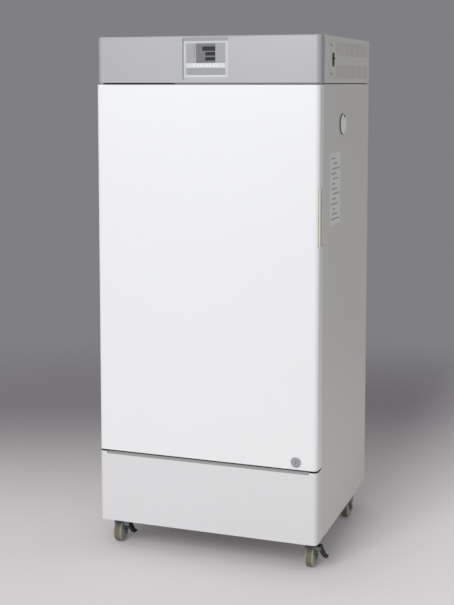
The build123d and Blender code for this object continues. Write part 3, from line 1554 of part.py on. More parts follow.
cooling_blades = 5
cooling_blade = (60.0, 1.5, 38.0)
cooling_blade_pitch = 30.0
with BuildPart() as condenser_fan:
    hub_start = (condenser_x, cooling_fan_y - fan_hub_depth / 2, cooling_fan_z)
    rod(hub_start, (0, 1, 0), fan_hub / 2, fan_hub_depth)
    shaft_start = (condenser_x, motor_shaft_y, cooling_fan_z)
    rod(shaft_start, (0, 1, 0), fan_shaft / 2, cooling_fan_y - motor_shaft_y)
    blade_radius = (cooling_fan_diameter - cooling_blade[0]) / 2
    for number in range(cooling_blades):
        blade_angle = 360 / cooling_blades * number
        blade_place = (
            condenser_x + blade_radius * cos(radians(blade_angle)),
            cooling_fan_y,
            cooling_fan_z + blade_radius * sin(radians(blade_angle)),
        )
        blade_turn = Location(blade_place, (0, -blade_angle, 0))
        with Locations(blade_turn * Location((0, 0, 0), (cooling_blade_pitch, 0, 0))):
            Box(*cooling_blade)
write(condenser_fan.part, "condenser_fan")


def pipe(points, diameter):
    """One tube, drawn solid, along straight runs that meet in brazed elbows."""
    with BuildPart() as tube:
        with BuildLine() as path:
            Polyline(*points)
        with BuildSketch(Plane(origin=points[0], z_dir=path.line % 0)) as bore:
            Circle(diameter / 2)
        sweep(bore.sketch, path=path.line, transition=Transition.RIGHT)
    return tube.part


# The suction, discharge and liquid pipes meet the compressor's cap and the coils' ends
suction_port_x = compressor_x + 10
discharge_port_x = compressor_x - 20
condenser_port_x = condenser_low_x + 20
suction_pipe = pipe(
    [
        (suction_x, pipe_y, evaporator_bottom_z),
        (suction_x, pipe_y, suction_run_z),
        (suction_port_x, pipe_y, suction_run_z),
        (suction_port_x, pipe_y, compressor_top_z),
    ],
    suction_diameter,
)
discharge_pipe = pipe(
    [
        (discharge_port_x, pipe_y, compressor_top_z),
        (discharge_port_x, pipe_y, discharge_run_z),
        (condenser_port_x, pipe_y, discharge_run_z),
        (condenser_port_x, condenser_front_y, discharge_run_z),
    ],
    liquid_diameter,
)
liquid_pipe = pipe(
    [
        (liquid_x, condenser_front_y, discharge_run_z),
        (liquid_x, pipe_y, discharge_run_z),
        (liquid_x, pipe_y, evaporator_bottom_z),
    ],
    liquid_diameter,
)
write_set([suction_pipe, discharge_pipe, liquid_pipe], "refrigerant_pipes")
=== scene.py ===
from math import cos, pi, radians, sin

import bmesh
import bpy
from mathutils import Matrix, Vector


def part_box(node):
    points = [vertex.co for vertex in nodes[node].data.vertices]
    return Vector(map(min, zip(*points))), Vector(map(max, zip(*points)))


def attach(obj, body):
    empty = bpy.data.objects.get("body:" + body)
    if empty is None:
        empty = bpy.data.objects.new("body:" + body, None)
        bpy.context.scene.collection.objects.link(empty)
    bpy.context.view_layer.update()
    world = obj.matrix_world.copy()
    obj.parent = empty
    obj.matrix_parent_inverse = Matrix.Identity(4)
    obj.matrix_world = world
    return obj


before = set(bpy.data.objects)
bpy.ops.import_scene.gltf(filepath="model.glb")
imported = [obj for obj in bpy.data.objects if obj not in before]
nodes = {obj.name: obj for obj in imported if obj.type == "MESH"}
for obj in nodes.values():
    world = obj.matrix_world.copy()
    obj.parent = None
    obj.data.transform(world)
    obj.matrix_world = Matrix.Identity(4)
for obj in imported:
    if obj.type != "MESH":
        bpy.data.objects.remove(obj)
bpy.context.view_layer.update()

# Camera: a standing photographer's view from the front right, at the control panel's height.
# The photograph keeps the uprights nearly parallel, so the lens is shifted down.
camera_place = Vector((1.2286, -3.6292, 1.4485))
camera_turn = 0.3363
camera_dip = 0.0962
photo_size = (454, 605)
focal_pixels = 1199.1
camera_data = bpy.data.cameras.new("photographer")
camera_data.sensor_fit = "AUTO"
camera_data.sensor_width = 36.0
camera_data.lens = focal_pixels / max(photo_size) * camera_data.sensor_width
camera_data.shift_y = -0.17
camera = bpy.data.objects.new("photographer", camera_data)
camera.location = camera_place
camera.rotation_euler = (pi / 2 - camera_dip, 0, camera_turn)
bpy.context.scene.collection.objects.link(camera)
bpy.context.scene.camera = camera

# Cabinet shell: folded steel sheets under a powder coat baked on after bending, its tone set greyer than the
# door's white as painted shade.
# The coat has a fine orange peel, and its tone wanders a little where the gun overlapped.
# Side panels are pressed, the rear panel is flat and screwed on, and the top cover is a box.


def linear(red, green, blue):
    """A colour given as it shows on screen, from 0 to 255, in the shader's linear values."""
    tones = [value / 255 for value in (red, green, blue)]
    shares = [tone / 12.92 if tone <= 0.04045 else ((tone + 0.055) / 1.055) ** 2.4 for tone in tones]
    return (*shares, 1.0)


def new_group(name, inputs):
    """A shader group with named inputs, which puts out a colour, a roughness and a height."""
    group = bpy.data.node_groups.new(name, "ShaderNodeTree")
    for label, kind, default in inputs:
        socket = group.interface.new_socket(name=label, in_out="INPUT", socket_type=kind)
        socket.default_value = default
    group.interface.new_socket(name="Colour", in_out="OUTPUT", socket_type="NodeSocketColor")
    for label in ("Roughness", "Height"):
        group.interface.new_socket(name=label, in_out="OUTPUT", socket_type="NodeSocketFloat")
    return group, group.nodes.new("NodeGroupInput").outputs


def put_out(group, colour, rough, height):
    """Leads a group's colour, roughness and relief to its outputs."""
    result = group.nodes.new("NodeGroupOutput")
    for label, value in (("Colour", colour), ("Roughness", rough), ("Height", height)):
        group.links.new(value, result.inputs[label])
    return group


def add_noise(tree, scale, detail=3.0, vector=None):
    """A noise texture in object coordinates, which are the frame's own metres."""
    noise = tree.nodes.new("ShaderNodeTexNoise")
    noise.inputs["Detail"].default_value = detail
    if isinstance(scale, bpy.types.NodeSocket):
        tree.links.new(scale, noise.inputs["Scale"])
    else:
        noise.inputs["Scale"].default_value = scale
    if vector is None:
        vector = tree.nodes.new("ShaderNodeTexCoord").outputs["Object"]
    tree.links.new(vector, noise.inputs["Vector"])
    return noise.outputs["Fac"]


def add_math(tree, operation, first, second=0.0, clamp=False):
    """One step of arithmetic between sockets or numbers."""
    step = tree.nodes.new("ShaderNodeMath")
    step.operation = operation
    step.use_clamp = clamp
    for socket, value in zip(step.inputs, (first, second)):
        if isinstance(value, bpy.types.NodeSocket):
            tree.links.new(value, socket)
        else:
            socket.default_value = value
    return step.outputs["Value"]


def add_mix(tree, share, first, second):
    """A blend of two colours by a share from 0 to 1."""
    mix = tree.nodes.new("ShaderNodeMix")
    mix.data_type = "RGBA"
    colours = [socket for socket in mix.inputs if socket.type == "RGBA"]
    for socket, value in zip((mix.inputs["Factor"], *colours), (share, first, second)):
        if isinstance(value, bpy.types.NodeSocket):
            tree.links.new(value, socket)
        else:
            socket.default_value = value
    return next(socket for socket in mix.outputs if socket.type == "RGBA")


def powder_coat_group():
    """Baked powder coat: wandering tone, fine peel, and a gloss that varies with it."""
    group, given = new_group(
        "powder_coat",
        [
            ("Paint", "NodeSocketColor", (0.8, 0.8, 0.8, 1)),
            ("Shaded Paint", "NodeSocketColor", (0.7, 0.7, 0.7, 1)),
            ("Peel Scale", "NodeSocketFloat", 900.0),
            ("Gloss Floor", "NodeSocketFloat", 0.35),
        ],
    )
    clouds = add_noise(group, 1.7, 2.0)
    patches = add_noise(group, 14.0, 3.0)
    peel = add_noise(group, given["Peel Scale"], 2.0)
    share = add_math(group, "MULTIPLY", clouds, 0.55)
    share = add_math(group, "ADD", share, add_math(group, "MULTIPLY", patches, 0.16), clamp=True)
    colour = add_mix(group, share, given["Paint"], given["Shaded Paint"])
    rough = add_math(group, "ADD", given["Gloss Floor"], add_math(group, "MULTIPLY", patches, 0.12))
    return put_out(group, colour, rough, peel)


def finish_from_group(name, group, values, relief, metallic=0.0, clear=0.0):
    """A material whose colour, roughness and relief come from one group, set to its own values."""
    material = bpy.data.materials.new(name)
    material.use_nodes = True
    tree = material.node_tree
    shader = tree.nodes["Principled BSDF"]
    effect = tree.nodes.new("ShaderNodeGroup")
    effect.node_tree = group
    for label, value in values.items():
        effect.inputs[label].default_value = value
    bump = tree.nodes.new("ShaderNodeBump")
    bump.inputs["Distance"].default_value = relief
    bump.inputs["Strength"].default_value = 0.3
    tree.links.new(effect.outputs["Colour"], shader.inputs["Base Color"])
    tree.links.new(effect.outputs["Roughness"], shader.inputs["Roughness"])
    tree.links.new(effect.outputs["Height"], bump.inputs["Height"])
    tree.links.new(bump.outputs["Normal"], shader.inputs["Normal"])
    shader.inputs["Metallic"].default_value = metallic
    shader.inputs["Coat Weight"].default_value = clear
    return material


def coating(name, paint, shaded, peel, gloss, relief, clear=0.0):
    """A powder coat from its two tones."""
    values = {
        "Paint": linear(*paint),
        "Shaded Paint": linear(*shaded),
        "Peel Scale": peel,
        "Gloss Floor": gloss,
    }
    return finish_from_group(name, powder_coat, values, relief, clear=clear)


def dress(material, *names):
    """Gives CAD nodes their finish."""
    for name in names:
        nodes[name].data.materials.clear()
        nodes[name].data.materials.append(material)


powder_coat = powder_coat_group()
# Painted shade: the shell's tones are the door's white darkened, so that the side reads as shaded.
shell_paint = coating(
    "shell_paint",
    (222, 221, 216),
    (214, 213, 207),
    peel=900.0,
    gloss=0.38,
    relief=0.0003,
)
dress(shell_paint, "side_panel_left", "side_panel_right", "rear_panel", "top_cover")

# Screws of the rear panel: zinc plated pan heads with a cross recess, four down each edge.
# Each one draws the sheet against the flange of the side panel.
screw_inset = 0.010
screw_radius = 0.004
screw_shares = (0.02, 0.34, 0.66, 0.98)


def new_piece(name, shape):
    """Makes a piece of the scene from the shape under work."""
    mesh = bpy.data.meshes.new(name)
    shape.to_mesh(mesh)
    shape.free()
    piece = bpy.data.objects.new(name, mesh)
    bpy.context.scene.collection.objects.link(piece)
    return piece


def fix(piece, material, body):
    """Finishes a new piece and lets it move with its body."""
    piece.data.materials.append(material)
    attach(piece, body)


def upright_to(place, axis):
    """The move that sets something upright at the origin onto a place, along an axis."""
    return Matrix.Translation(Vector(place)) @ Vector(axis).to_track_quat("Z", "Y").to_matrix().to_4x4()


def turned(name, profile, place, axis, sides=24):
    """A turned piece: radius and height pairs spun about an axis through its place."""
    shape = bmesh.new()
    rings = []
    for radius, height in profile:
        angles = [2 * pi * number / sides for number in range(sides)]
        rings.append([shape.verts.new((radius * cos(a), radius * sin(a), height)) for a in angles])
    for lower, upper in zip(rings, rings[1:]):
        for number in range(sides):
            following = (number + 1) % sides
            shape.faces.new((lower[number], lower[following], upper[following], upper[number]))
    shape.faces.new(list(reversed(rings[0])))
    shape.faces.new(rings[-1])
    shape.transform(upright_to(place, axis))
    piece = new_piece(name, shape)
    for face in piece.data.polygons:
        face.use_smooth = len(face.vertices) == 4
    return piece


def cross_screw(name, place, axis, radius):
    """A pan head screw with a cross recess sunk into it."""
    dome = ((1, 0), (1, 0.25), (0.85, 0.5), (0.5, 0.62))
    profile = [(radius * across, radius * rise) for across, rise in dome]
    screw = turned(name, profile, (0, 0, 0), (0, 0, 1))
    for turn in (0, pi / 2):
        cutter_shape = bmesh.new()
        bmesh.ops.create_cube(cutter_shape, size=1.0)
        size = Matrix.Diagonal((radius * 1.1, radius * 0.22, radius * 0.7, 1))
        move = Matrix.Translation((0, 0, radius * 0.65))
        cutter_shape.transform(move @ Matrix.Rotation(turn, 4, "Z") @ size)
        cutter = new_piece("cutter", cutter_shape)
        carve = screw.modifiers.new("recess", "BOOLEAN")
        carve.object = cutter
        carve.operation = "DIFFERENCE"
        bpy.context.view_layer.update()
        carved = bpy.data.meshes.new_from_object(screw.evaluated_get(bpy.context.evaluated_depsgraph_get()))
        screw.modifiers.clear()
        screw.data = carved
        bpy.data.objects.remove(cutter)
    screw.data.transform(upright_to(place, axis))
    return screw


def worked_metal_group():
    """Bright metal with fine scratches: tone, gloss and relief from stretched noise."""
    group, given = new_group(
        "worked_metal",
        [
            ("Metal", "NodeSocketColor", (0.7, 0.7, 0.7, 1)),
            ("Dull Metal", "NodeSocketColor", (0.5, 0.5, 0.5, 1)),
            ("Grain", "NodeSocketVector", (1.0, 1.0, 1.0)),
            ("Roughness Floor", "NodeSocketFloat", 0.25),
            ("Roughness Range", "NodeSocketFloat", 0.2),
        ],
    )
    place = group.nodes.new("ShaderNodeTexCoord").outputs["Object"]
    stretch = group.nodes.new("ShaderNodeVectorMath")
    stretch.operation = "MULTIPLY"
    group.links.new(place, stretch.inputs[0])
    group.links.new(given["Grain"], stretch.inputs[1])
    grain = add_noise(group, 1.0, 3.0, stretch.outputs["Vector"])
    stains = add_noise(group, 22.0, 4.0)
    share = add_math(group, "MULTIPLY", add_math(group, "ADD", grain, stains), 0.5, clamp=True)
    colour = add_mix(group, share, given["Metal"], given["Dull Metal"])
    spread = add_math(group, "MULTIPLY", share, given["Roughness Range"])
    rough = add_math(group, "ADD", spread, given["Roughness Floor"])
    return put_out(group, colour, rough, grain)


worked_metal = worked_metal_group()


def metalwork(name, bright, dull, grain, rough, relief, metallic=1.0):
    """A bare or plated metal from its two tones, and the floor and range of its roughness."""
    values = {
        "Metal": linear(*bright),
        "Dull Metal": linear(*dull),
        "Grain": grain,
        "Roughness Floor": rough[0],
        "Roughness Range": rough[1],
    }
    return finish_from_group(name, worked_metal, values, relief, metallic)


screw_steel = metalwork(
    "screw_steel",
    (190, 191, 190),
    (140, 141, 140),
    grain=(900.0, 900.0, 900.0),
    rough=(0.28, 0.2),
    relief=0.0001,
)
rear_low, rear_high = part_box("rear_panel")
for side, screw_x in (("left", rear_low.x + screw_inset), ("right", rear_high.x - screw_inset)):
    for number, share in enumerate(screw_shares, start=1):
        screw_z = rear_low.z + (rear_high.z - rear_low.z) * share
        place = (screw_x, rear_high.y, screw_z)
        screw = cross_screw(f"rear_screw_{side}_{number}", place, (0, 1, 0), screw_radius)
        fix(screw, screw_steel, "cabinet")

# Label on the right side: a thin pale film with rounded corners, rolled on by hand. Rows of
# short grey bars are printed on it, and they start and end at different places.
side_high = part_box("side_panel_right")[1]
label_centre = (side_high.x, -0.130, 1.136)
label_size = (0.125, 0.216)
label_corner = 0.004
label_thickness = 0.0003
bar_rows = 13
bar_pitch = 0.0152
bar_rise = 0.0048
bar_thickness = 0.00005
bar_reach = (0.048, 0.050)
bar_steps = (0.009, 0.013)


def thicken(shape, rise):
    """Gives flat faces a thickness along a vector, and turns all faces outwards."""
    raised = bmesh.ops.extrude_face_region(shape, geom=list(shape.faces))
    moved = [item for item in raised["geom"] if isinstance(item, bmesh.types.BMVert)]
    bmesh.ops.translate(shape, verts=moved, vec=rise)
    bmesh.ops.recalc_face_normals(shape, faces=shape.faces)


def rounded_film(name, width, height, corner, thickness, plane):
    """A thin plate with round corners, lying in a plane given by its frame matrix."""
    shape = bmesh.new()
    outline = []
    for centre_u, centre_v, start in (
        (width / 2 - corner, height / 2 - corner, 0),
        (-width / 2 + corner, height / 2 - corner, pi / 2),
        (-width / 2 + corner, -height / 2 + corner, pi),
        (width / 2 - corner, -height / 2 + corner, 3 * pi / 2),
    ):
        for step in range(6):
            angle = start + step * pi / 10
            outline.append((centre_u + corner * cos(angle), centre_v + corner * sin(angle), 0))
    shape.faces.new([shape.verts.new(point) for point in outline])
    thicken(shape, (0, 0, thickness))
    shape.transform(plane)
    return new_piece(name, shape)


def facing(place, right, up):
    """The frame of a plane at a place, from its right-hand and upward directions."""
    right, up = Vector(right), Vector(up)
    out = right.cross(up)
    columns = Matrix((right, up, out)).transposed().to_4x4()
    return Matrix.Translation(Vector(place)) @ columns


def moulded_group():
    """Moulded plastic: a fine spark-eroded grain and a slight drift in tone and gloss."""
    group, given = new_group(
        "moulded_plastic",
        [
            ("Plastic", "NodeSocketColor", (0.5, 0.5, 0.5, 1)),
            ("Worn Plastic", "NodeSocketColor", (0.45, 0.45, 0.45, 1)),
            ("Grain Scale", "NodeSocketFloat", 1500.0),
            ("Gloss Floor", "NodeSocketFloat", 0.4),
        ],
    )
    drift = add_noise(group, 9.0, 3.0)
    grain = add_noise(group, given["Grain Scale"], 2.0)
    broad = add_math(group, "MULTIPLY", drift, 0.7)
    share = add_math(group, "ADD", broad, add_math(group, "MULTIPLY", grain, 0.3))
    colour = add_mix(group, share, given["Plastic"], given["Worn Plastic"])
    rough = add_math(group, "ADD", given["Gloss Floor"], add_math(group, "MULTIPLY", drift, 0.15))
    return put_out(group, colour, rough, grain)


moulded_plastic = moulded_group()


def moulding(name, fresh, worn, grain, gloss, relief):
    """A moulded plastic from its fresh and its worn tone."""
    values = {
        "Plastic": linear(*fresh),
        "Worn Plastic": linear(*worn),
        "Grain Scale": grain,
        "Gloss Floor": gloss,
    }
    return finish_from_group(name, moulded_plastic, values, relief)


label_film = moulding("label_film", (240, 241, 238), (230, 231, 229), grain=400.0, gloss=0.3, relief=0.0001)
label_plane = facing(label_centre, (0, 1, 0), (0, 0, 1))
side_label = rounded_film("side_label", *label_size, label_corner, label_thickness, label_plane)
fix(side_label, label_film, "cabinet")

bar_shape = bmesh.new()
for row in range(bar_rows):
    bar_z = label_centre[2] + (row - (bar_rows - 1) / 2) * bar_pitch
    bar_start = label_centre[1] - bar_reach[0] + bar_steps[0] * (row % 3)
    bar_end = label_centre[1] + bar_reach[1] - bar_steps[1] * ((row * 2) % 5)
    bar_corners = []
    for y, side in ((bar_start, -1), (bar_end, -1), (bar_end, 1), (bar_start, 1)):
        corner = (side_high.x + label_thickness, y, bar_z + side * bar_rise / 2)
        bar_corners.append(bar_shape.verts.new(corner))
    bar_shape.faces.new(bar_corners)
thicken(bar_shape, (bar_thickness, 0, 0))
label_ink = moulding("label_ink", (176, 178, 181), (162, 164, 168), grain=300.0, gloss=0.4, relief=0.00002)
fix(new_piece("label_bars", bar_shape), label_ink, "cabinet")

# Door skin: a folded tray of the same sheet steel, with round upright corners. Its coat is
# glossier than the sides', and whiter, as the sides' tone carries painted shade.
front_paint = coating(
    "front_paint",
    (243, 245, 247),
    (236, 236, 236),
    peel=1100.0,
    gloss=0.3,
    relief=0.0002,
    clear=0.15,
)
dress(front_paint, "door_shell")

# Lower front panel: the same folded sheet, its paint set greyer than the door's as painted shade,
# darker towards the bottom. Its top flange and the sloped band under it carry painted shade
# for the gap below the door.
panel_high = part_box("lower_front_panel")[1]
band_height = 0.0077
band_half = panel_high.x - 0.025
flange_skin = 0.0004
painted_band_shade = linear(160, 158, 158)
painted_flange_shade = linear(58, 58, 60)


def object_place(tree):
    """The X, Y and Z of object coordinates, which are the frame's own metres."""
    split = tree.nodes.new("ShaderNodeSeparateXYZ")
    tree.links.new(tree.nodes.new("ShaderNodeTexCoord").outputs["Object"], split.inputs["Vector"])
    return split.outputs["X"], split.outputs["Y"], split.outputs["Z"]


def lay_over(material, mask, colour):
    """Lays a colour over a material's own, as far as the mask says."""
    tree = material.node_tree
    paint = tree.nodes["Principled BSDF"].inputs["Base Color"]
    tree.links.new(add_mix(tree, mask, paint.links[0].from_socket, colour), paint)


# Painted shade: the panel's tones are set below the door's, darker towards the bottom.
lower_paint = coating(
    "lower_paint",
    (228, 229, 231),
    (220, 219, 219),
    peel=1100.0,
    gloss=0.32,
    relief=0.0002,
    clear=0.1,
)
lower_tree = lower_paint.node_tree
panel_x, _, panel_z = object_place(lower_tree)
# Painted shade in the gap below the door: a grey band on the sloped edge, near black on the top flange.
in_band = add_math(lower_tree, "GREATER_THAN", panel_z, panel_high.z - band_height)
inside = add_math(lower_tree, "LESS_THAN", add_math(lower_tree, "ABSOLUTE", panel_x), band_half)
lay_over(lower_paint, add_math(lower_tree, "MULTIPLY", in_band, inside), painted_band_shade)
on_flange = add_math(lower_tree, "GREATER_THAN", panel_z, panel_high.z - flange_skin)
lay_over(lower_paint, on_flange, painted_flange_shade)
dress(lower_paint, "lower_front_panel")

# Door's inside: a white vacuum-formed liner, the magnetic gasket in its grey sleeve, nylon
# bushes for the hinge pins, and the rigid foam that fills the skin.
liner_plastic = moulding(
    "liner_plastic",
    (236, 236, 232),
    (228, 228, 222),
    grain=700.0,
    gloss=0.35,
    relief=0.0002,
)
dress(liner_plastic, "door_liner", "mouth_frame", "door_hinge_bushes")
gasket_vinyl = moulding("gasket_vinyl", (78, 78, 77), (92, 92, 90), grain=300.0, gloss=0.5, relief=0.0004)
dress(gasket_vinyl, "door_gasket")


def foam_group():
    """Rigid foam: pale yellow skin with small open bubbles."""
    group, given = new_group(
        "rigid_foam",
        [
            ("Foam", "NodeSocketColor", (0.8, 0.7, 0.4, 1)),
            ("Bubble", "NodeSocketColor", (0.6, 0.5, 0.3, 1)),
            ("Bubble Scale", "NodeSocketFloat", 350.0),
        ],
    )
    cells = group.nodes.new("ShaderNodeTexVoronoi")
    group.links.new(given["Bubble Scale"], cells.inputs["Scale"])
    group.links.new(group.nodes.new("ShaderNodeTexCoord").outputs["Object"], cells.inputs["Vector"])
    distance = cells.outputs["Distance"]
    colour = add_mix(group, distance, given["Bubble"], given["Foam"])
    rough = add_math(group, "ADD", 0.75, add_math(group, "MULTIPLY", distance, 0.2))
    return put_out(group, colour, rough, distance)


foam_tones = {"Foam": linear(232, 219, 170), "Bubble": linear(196, 180, 128), "Bubble Scale": 350.0}
foam = finish_from_group("foam", foam_group(), foam_tones, relief=0.001)
dress(foam, "insulation", "door_insulation")

# Grip: a scooped moulding let into the door's right edge. The fingers reach behind its lip
# and pull, and the side panel is pressed in beside it to make room for them.
grip_plastic = moulding(
    "grip_plastic",
    (232, 233, 231),
    (222, 222, 219),
    grain=1500.0,
    gloss=0.4,
    relief=0.0002,
)
dress(grip_plastic, "door_grip")

# Lock: a chromed rosette with a turning key plug, pushed through the door's skin and nutted
# from behind. The glass door's leaves and pull have the same chrome.
lock_chrome = metalwork(
    "lock_chrome",
    (206, 209, 214),
    (168, 171, 176),
    grain=(500.0, 120.0, 500.0),
    rough=(0.16, 0.16),
    relief=0.0001,
)
dress(lock_chrome, "lock_body", "lock_cylinder", "inner_door_fittings")

# Glass door inside: one toughened pane with polished edges, so that the shelves can be seen
# while the chamber stays closed. Its leaves and pull are bonded to it, and it isn't drilled.
door_glass = bpy.data.materials.new("door_glass")
door_glass.use_nodes = True
glass_shader = door_glass.node_tree.nodes["Principled BSDF"]
glass_shader.inputs["Transmission Weight"].default_value = 1.0
glass_shader.inputs["IOR"].default_value = 1.5
glass_smear = add_noise(door_glass.node_tree, 6.0, 4.0)
glass_tint = add_mix(door_glass.node_tree, glass_smear, linear(238, 247, 244), linear(230, 243, 239))
glass_haze = add_math(door_glass.node_tree, "MULTIPLY", glass_smear, 0.06)
glass_wave = door_glass.node_tree.nodes.new("ShaderNodeBump")
glass_wave.inputs["Distance"].default_value = 0.00005
door_glass.node_tree.links.new(glass_tint, glass_shader.inputs["Base Color"])
door_glass.node_tree.links.new(glass_haze, glass_shader.inputs["Roughness"])
door_glass.node_tree.links.new(glass_smear, glass_wave.inputs["Height"])
door_glass.node_tree.links.new(glass_wave.outputs["Normal"], glass_shader.inputs["Normal"])
dress(door_glass, "inner_door_pane")

# Chamber: brushed stainless sheet, with rails, punched shelves, the air duct panel and the
# heater behind it. The brushing runs across the cabinet.
stainless = metalwork(
    "stainless",
    (212, 214, 216),
    (180, 183, 186),
    grain=(6.0, 60.0, 900.0),
    rough=(0.26, 0.18),
    relief=0.0001,
)
dress(stainless, "inner_tank", "shelf_rails", "shelf_lower", "shelf_middle", "shelf_upper")
dress(stainless, "air_duct_panel", "heater", "temperature_probe")

# Fans, motors and small black parts: enamelled motor cans and compressor, moulded impellers,
# and mouldings in the same black for the cord gland, the breaker's toggle and the brakes.
motor_enamel = coating("motor_enamel", (34, 35, 37), (26, 26, 28), peel=500.0, gloss=0.32, relief=0.0003)
dress(motor_enamel, "fan_motor", "condenser_fan_motor", "compressor")
black_moulding = moulding(
    "black_moulding",
    (30, 30, 31),
    (46, 46, 46),
    grain=1200.0,
    gloss=0.42,
    relief=0.0002,
)
dress(black_moulding, "circulation_fan", "condenser_fan", "power_cord_gland", "breaker_toggle")
dress(black_moulding, "brake_lever_front_left", "brake_lever_front_right")

# Coils and pipes: pressed aluminium fins on the evaporator and the condenser. Drawn copper
# tube, bent and brazed, joins them to the compressor.
fin_aluminium = metalwork(
    "fin_aluminium",
    (206, 208, 210),
    (158, 160, 162),
    grain=(700.0, 30.0, 30.0),
    rough=(0.35, 0.25),
    relief=0.0005,
)
dress(fin_aluminium, "evaporator", "condenser")
drawn_copper = metalwork(
    "drawn_copper",
    (214, 140, 106),
    (132, 80, 58),
    grain=(60.0, 60.0, 60.0),
    rough=(0.25, 0.3),
    relief=0.0001,
)
dress(drawn_copper, "refrigerant_pipes")

# Frame: folded and zinc plated steel under and over the insulated body. The hinge plates of
# the door have the same plating, and are screwed to it.
zinc = metalwork(
    "zinc",
    (186, 190, 187),
    (138, 144, 139),
    grain=(160.0, 160.0, 160.0),
    rough=(0.36, 0.22),
    relief=0.0002,
    metallic=0.85,
)
dress(zinc, "base_frame", "top_tray", "hinge_brackets")

# Control fascia: a silver grey moulding with a fine metal flake in its paint. It is one tray
# across the cabinet, with a sunk and sloped surround for the controller.


def flake_paint_group():
    """Silver paint on a moulding: small bright flakes in a grey that drifts slowly."""
    group, given = new_group(
        "flake_paint",
        [
            ("Silver", "NodeSocketColor", (0.5, 0.5, 0.5, 1)),
            ("Flake", "NodeSocketColor", (0.7, 0.7, 0.7, 1)),
            ("Flake Scale", "NodeSocketFloat", 1800.0),
            ("Gloss Floor", "NodeSocketFloat", 0.35),
        ],
    )
    flakes = group.nodes.new("ShaderNodeTexVoronoi")
    group.links.new(given["Flake Scale"], flakes.inputs["Scale"])
    group.links.new(group.nodes.new("ShaderNodeTexCoord").outputs["Object"], flakes.inputs["Vector"])
    drift = add_noise(group, 2.5, 2.0)
    sparkle = add_math(group, "MULTIPLY", flakes.outputs["Distance"], 0.5)
    share = add_math(group, "ADD", sparkle, add_math(group, "MULTIPLY", drift, 0.5), clamp=True)
    colour = add_mix(group, share, given["Silver"], given["Flake"])
    rough = add_math(group, "ADD", given["Gloss Floor"], add_math(group, "MULTIPLY", share, 0.12))
    return put_out(group, colour, rough, flakes.outputs["Distance"])


flake_paint = flake_paint_group()


def flaked(name, silver, flake_tone, flake, gloss, relief, metallic):
    """A silver paint from the tones of its ground and its flakes."""
    values = {
        "Silver": linear(*silver),
        "Flake": linear(*flake_tone),
        "Flake Scale": flake,
        "Gloss Floor": gloss,
    }
    return finish_from_group(name, flake_paint, values, relief, metallic)


fascia_silver = flaked(
    "fascia_silver",
    (172, 173, 176),
    (190, 190, 193),
    flake=1800.0,
    gloss=0.36,
    relief=0.00005,
    metallic=0.15,
)
dress(fascia_silver, "control_fascia")

# Controller: a moulded bezel in a paler silver, with a raised rim. Printed films cover its
# sunk face in three fields: grey above, a light band for the keys, and grey below.
bezel_silver = flaked(
    "bezel_silver",
    (196, 199, 200),
    (207, 210, 211),
    flake=2500.0,
    gloss=0.3,
    relief=0.00003,
    metallic=0.1,
)
dress(bezel_silver, "controller_bezel")

window_low, window_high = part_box("display_window")
key_boxes = [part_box(f"key_{number}") for number in range(1, 5)]
face_y = window_low.y
face_left_x, face_right_x = -0.0628, 0.0592
face_bottom_z, band_bottom_z, band_top_z, face_top_z = 1.4740, 1.4960, 1.5096, 1.5670
film_thickness = 0.0001
lamp_x = -0.0373
lamp_heights = (1.5566, 1.5499, 1.5430, 1.5354, 1.5287)
lamp_room = 0.0014
key_room = (0.0087, 0.0057)


def pierced_film(name, edges_x, edges_z, holes=()):
    """A thin film on the controller's face, in cells between the edges, with some left open."""
    shape = bmesh.new()
    points = {}
    for row, z in enumerate(edges_z):
        for column, x in enumerate(edges_x):
            points[column, row] = shape.verts.new((x, face_y - film_thickness, z))
    for row in range(len(edges_z) - 1):
        for column in range(len(edges_x) - 1):
            if (column, row) in holes:
                continue
            corners = [(column, row), (column + 1, row), (column + 1, row + 1), (column, row + 1)]
            shape.faces.new([points[corner] for corner in corners])
    loose = [point for point in shape.verts if not point.link_faces]
    bmesh.ops.delete(shape, geom=loose, context="VERTS")
    thicken(shape, (0, film_thickness, 0))
    return new_piece(name, shape)


film_kinds = {
    "film_grey": ((166, 168, 170), (159, 160, 163)),
    "film_band": ((216, 220, 222), (210, 214, 217)),
    "film_low": ((160, 164, 167), (154, 158, 162)),
}
film_prints = {}
for kind, (tone, shaded) in film_kinds.items():
    film_prints[kind] = moulding(kind, tone, shaded, grain=2200.0, gloss=0.32, relief=0.00002)

lamp_edges_z = []
for lamp_z in reversed(lamp_heights):
    lamp_edges_z += [lamp_z - lamp_room, lamp_z + lamp_room]
lamp_cells = {(1, 1 + 2 * number) for number in range(len(lamp_heights))}
left_field = pierced_film(
    "film_left",
    [face_left_x, lamp_x - lamp_room, lamp_x + lamp_room, window_low.x],
    [band_top_z, *lamp_edges_z, face_top_z],
    lamp_cells,
)
right_field = pierced_film("film_right", [window_high.x, face_right_x], [band_top_z, face_top_z])
key_edges_x = []
for low, high in key_boxes:
    middle = (low.x + high.x) / 2
    key_edges_x += [middle - key_room[0], middle + key_room[0]]
key_middle_z = (key_boxes[0][0].z + key_boxes[0][1].z) / 2
band_field = pierced_film(
    "film_band",
    [face_left_x, *key_edges_x, face_right_x],
    [band_bottom_z, key_middle_z - key_room[1], key_middle_z + key_room[1], band_top_z],
    {(1, 1), (3, 1), (5, 1), (7, 1)},
)
low_field = pierced_film("film_low", [face_left_x, face_right_x], [face_bottom_z, band_bottom_z])
for field, kind in (
    (left_field, "film_grey"),
    (right_field, "film_grey"),
    (band_field, "film_band"),
    (low_field, "film_low"),
):
    fix(field, film_prints[kind], "cabinet")

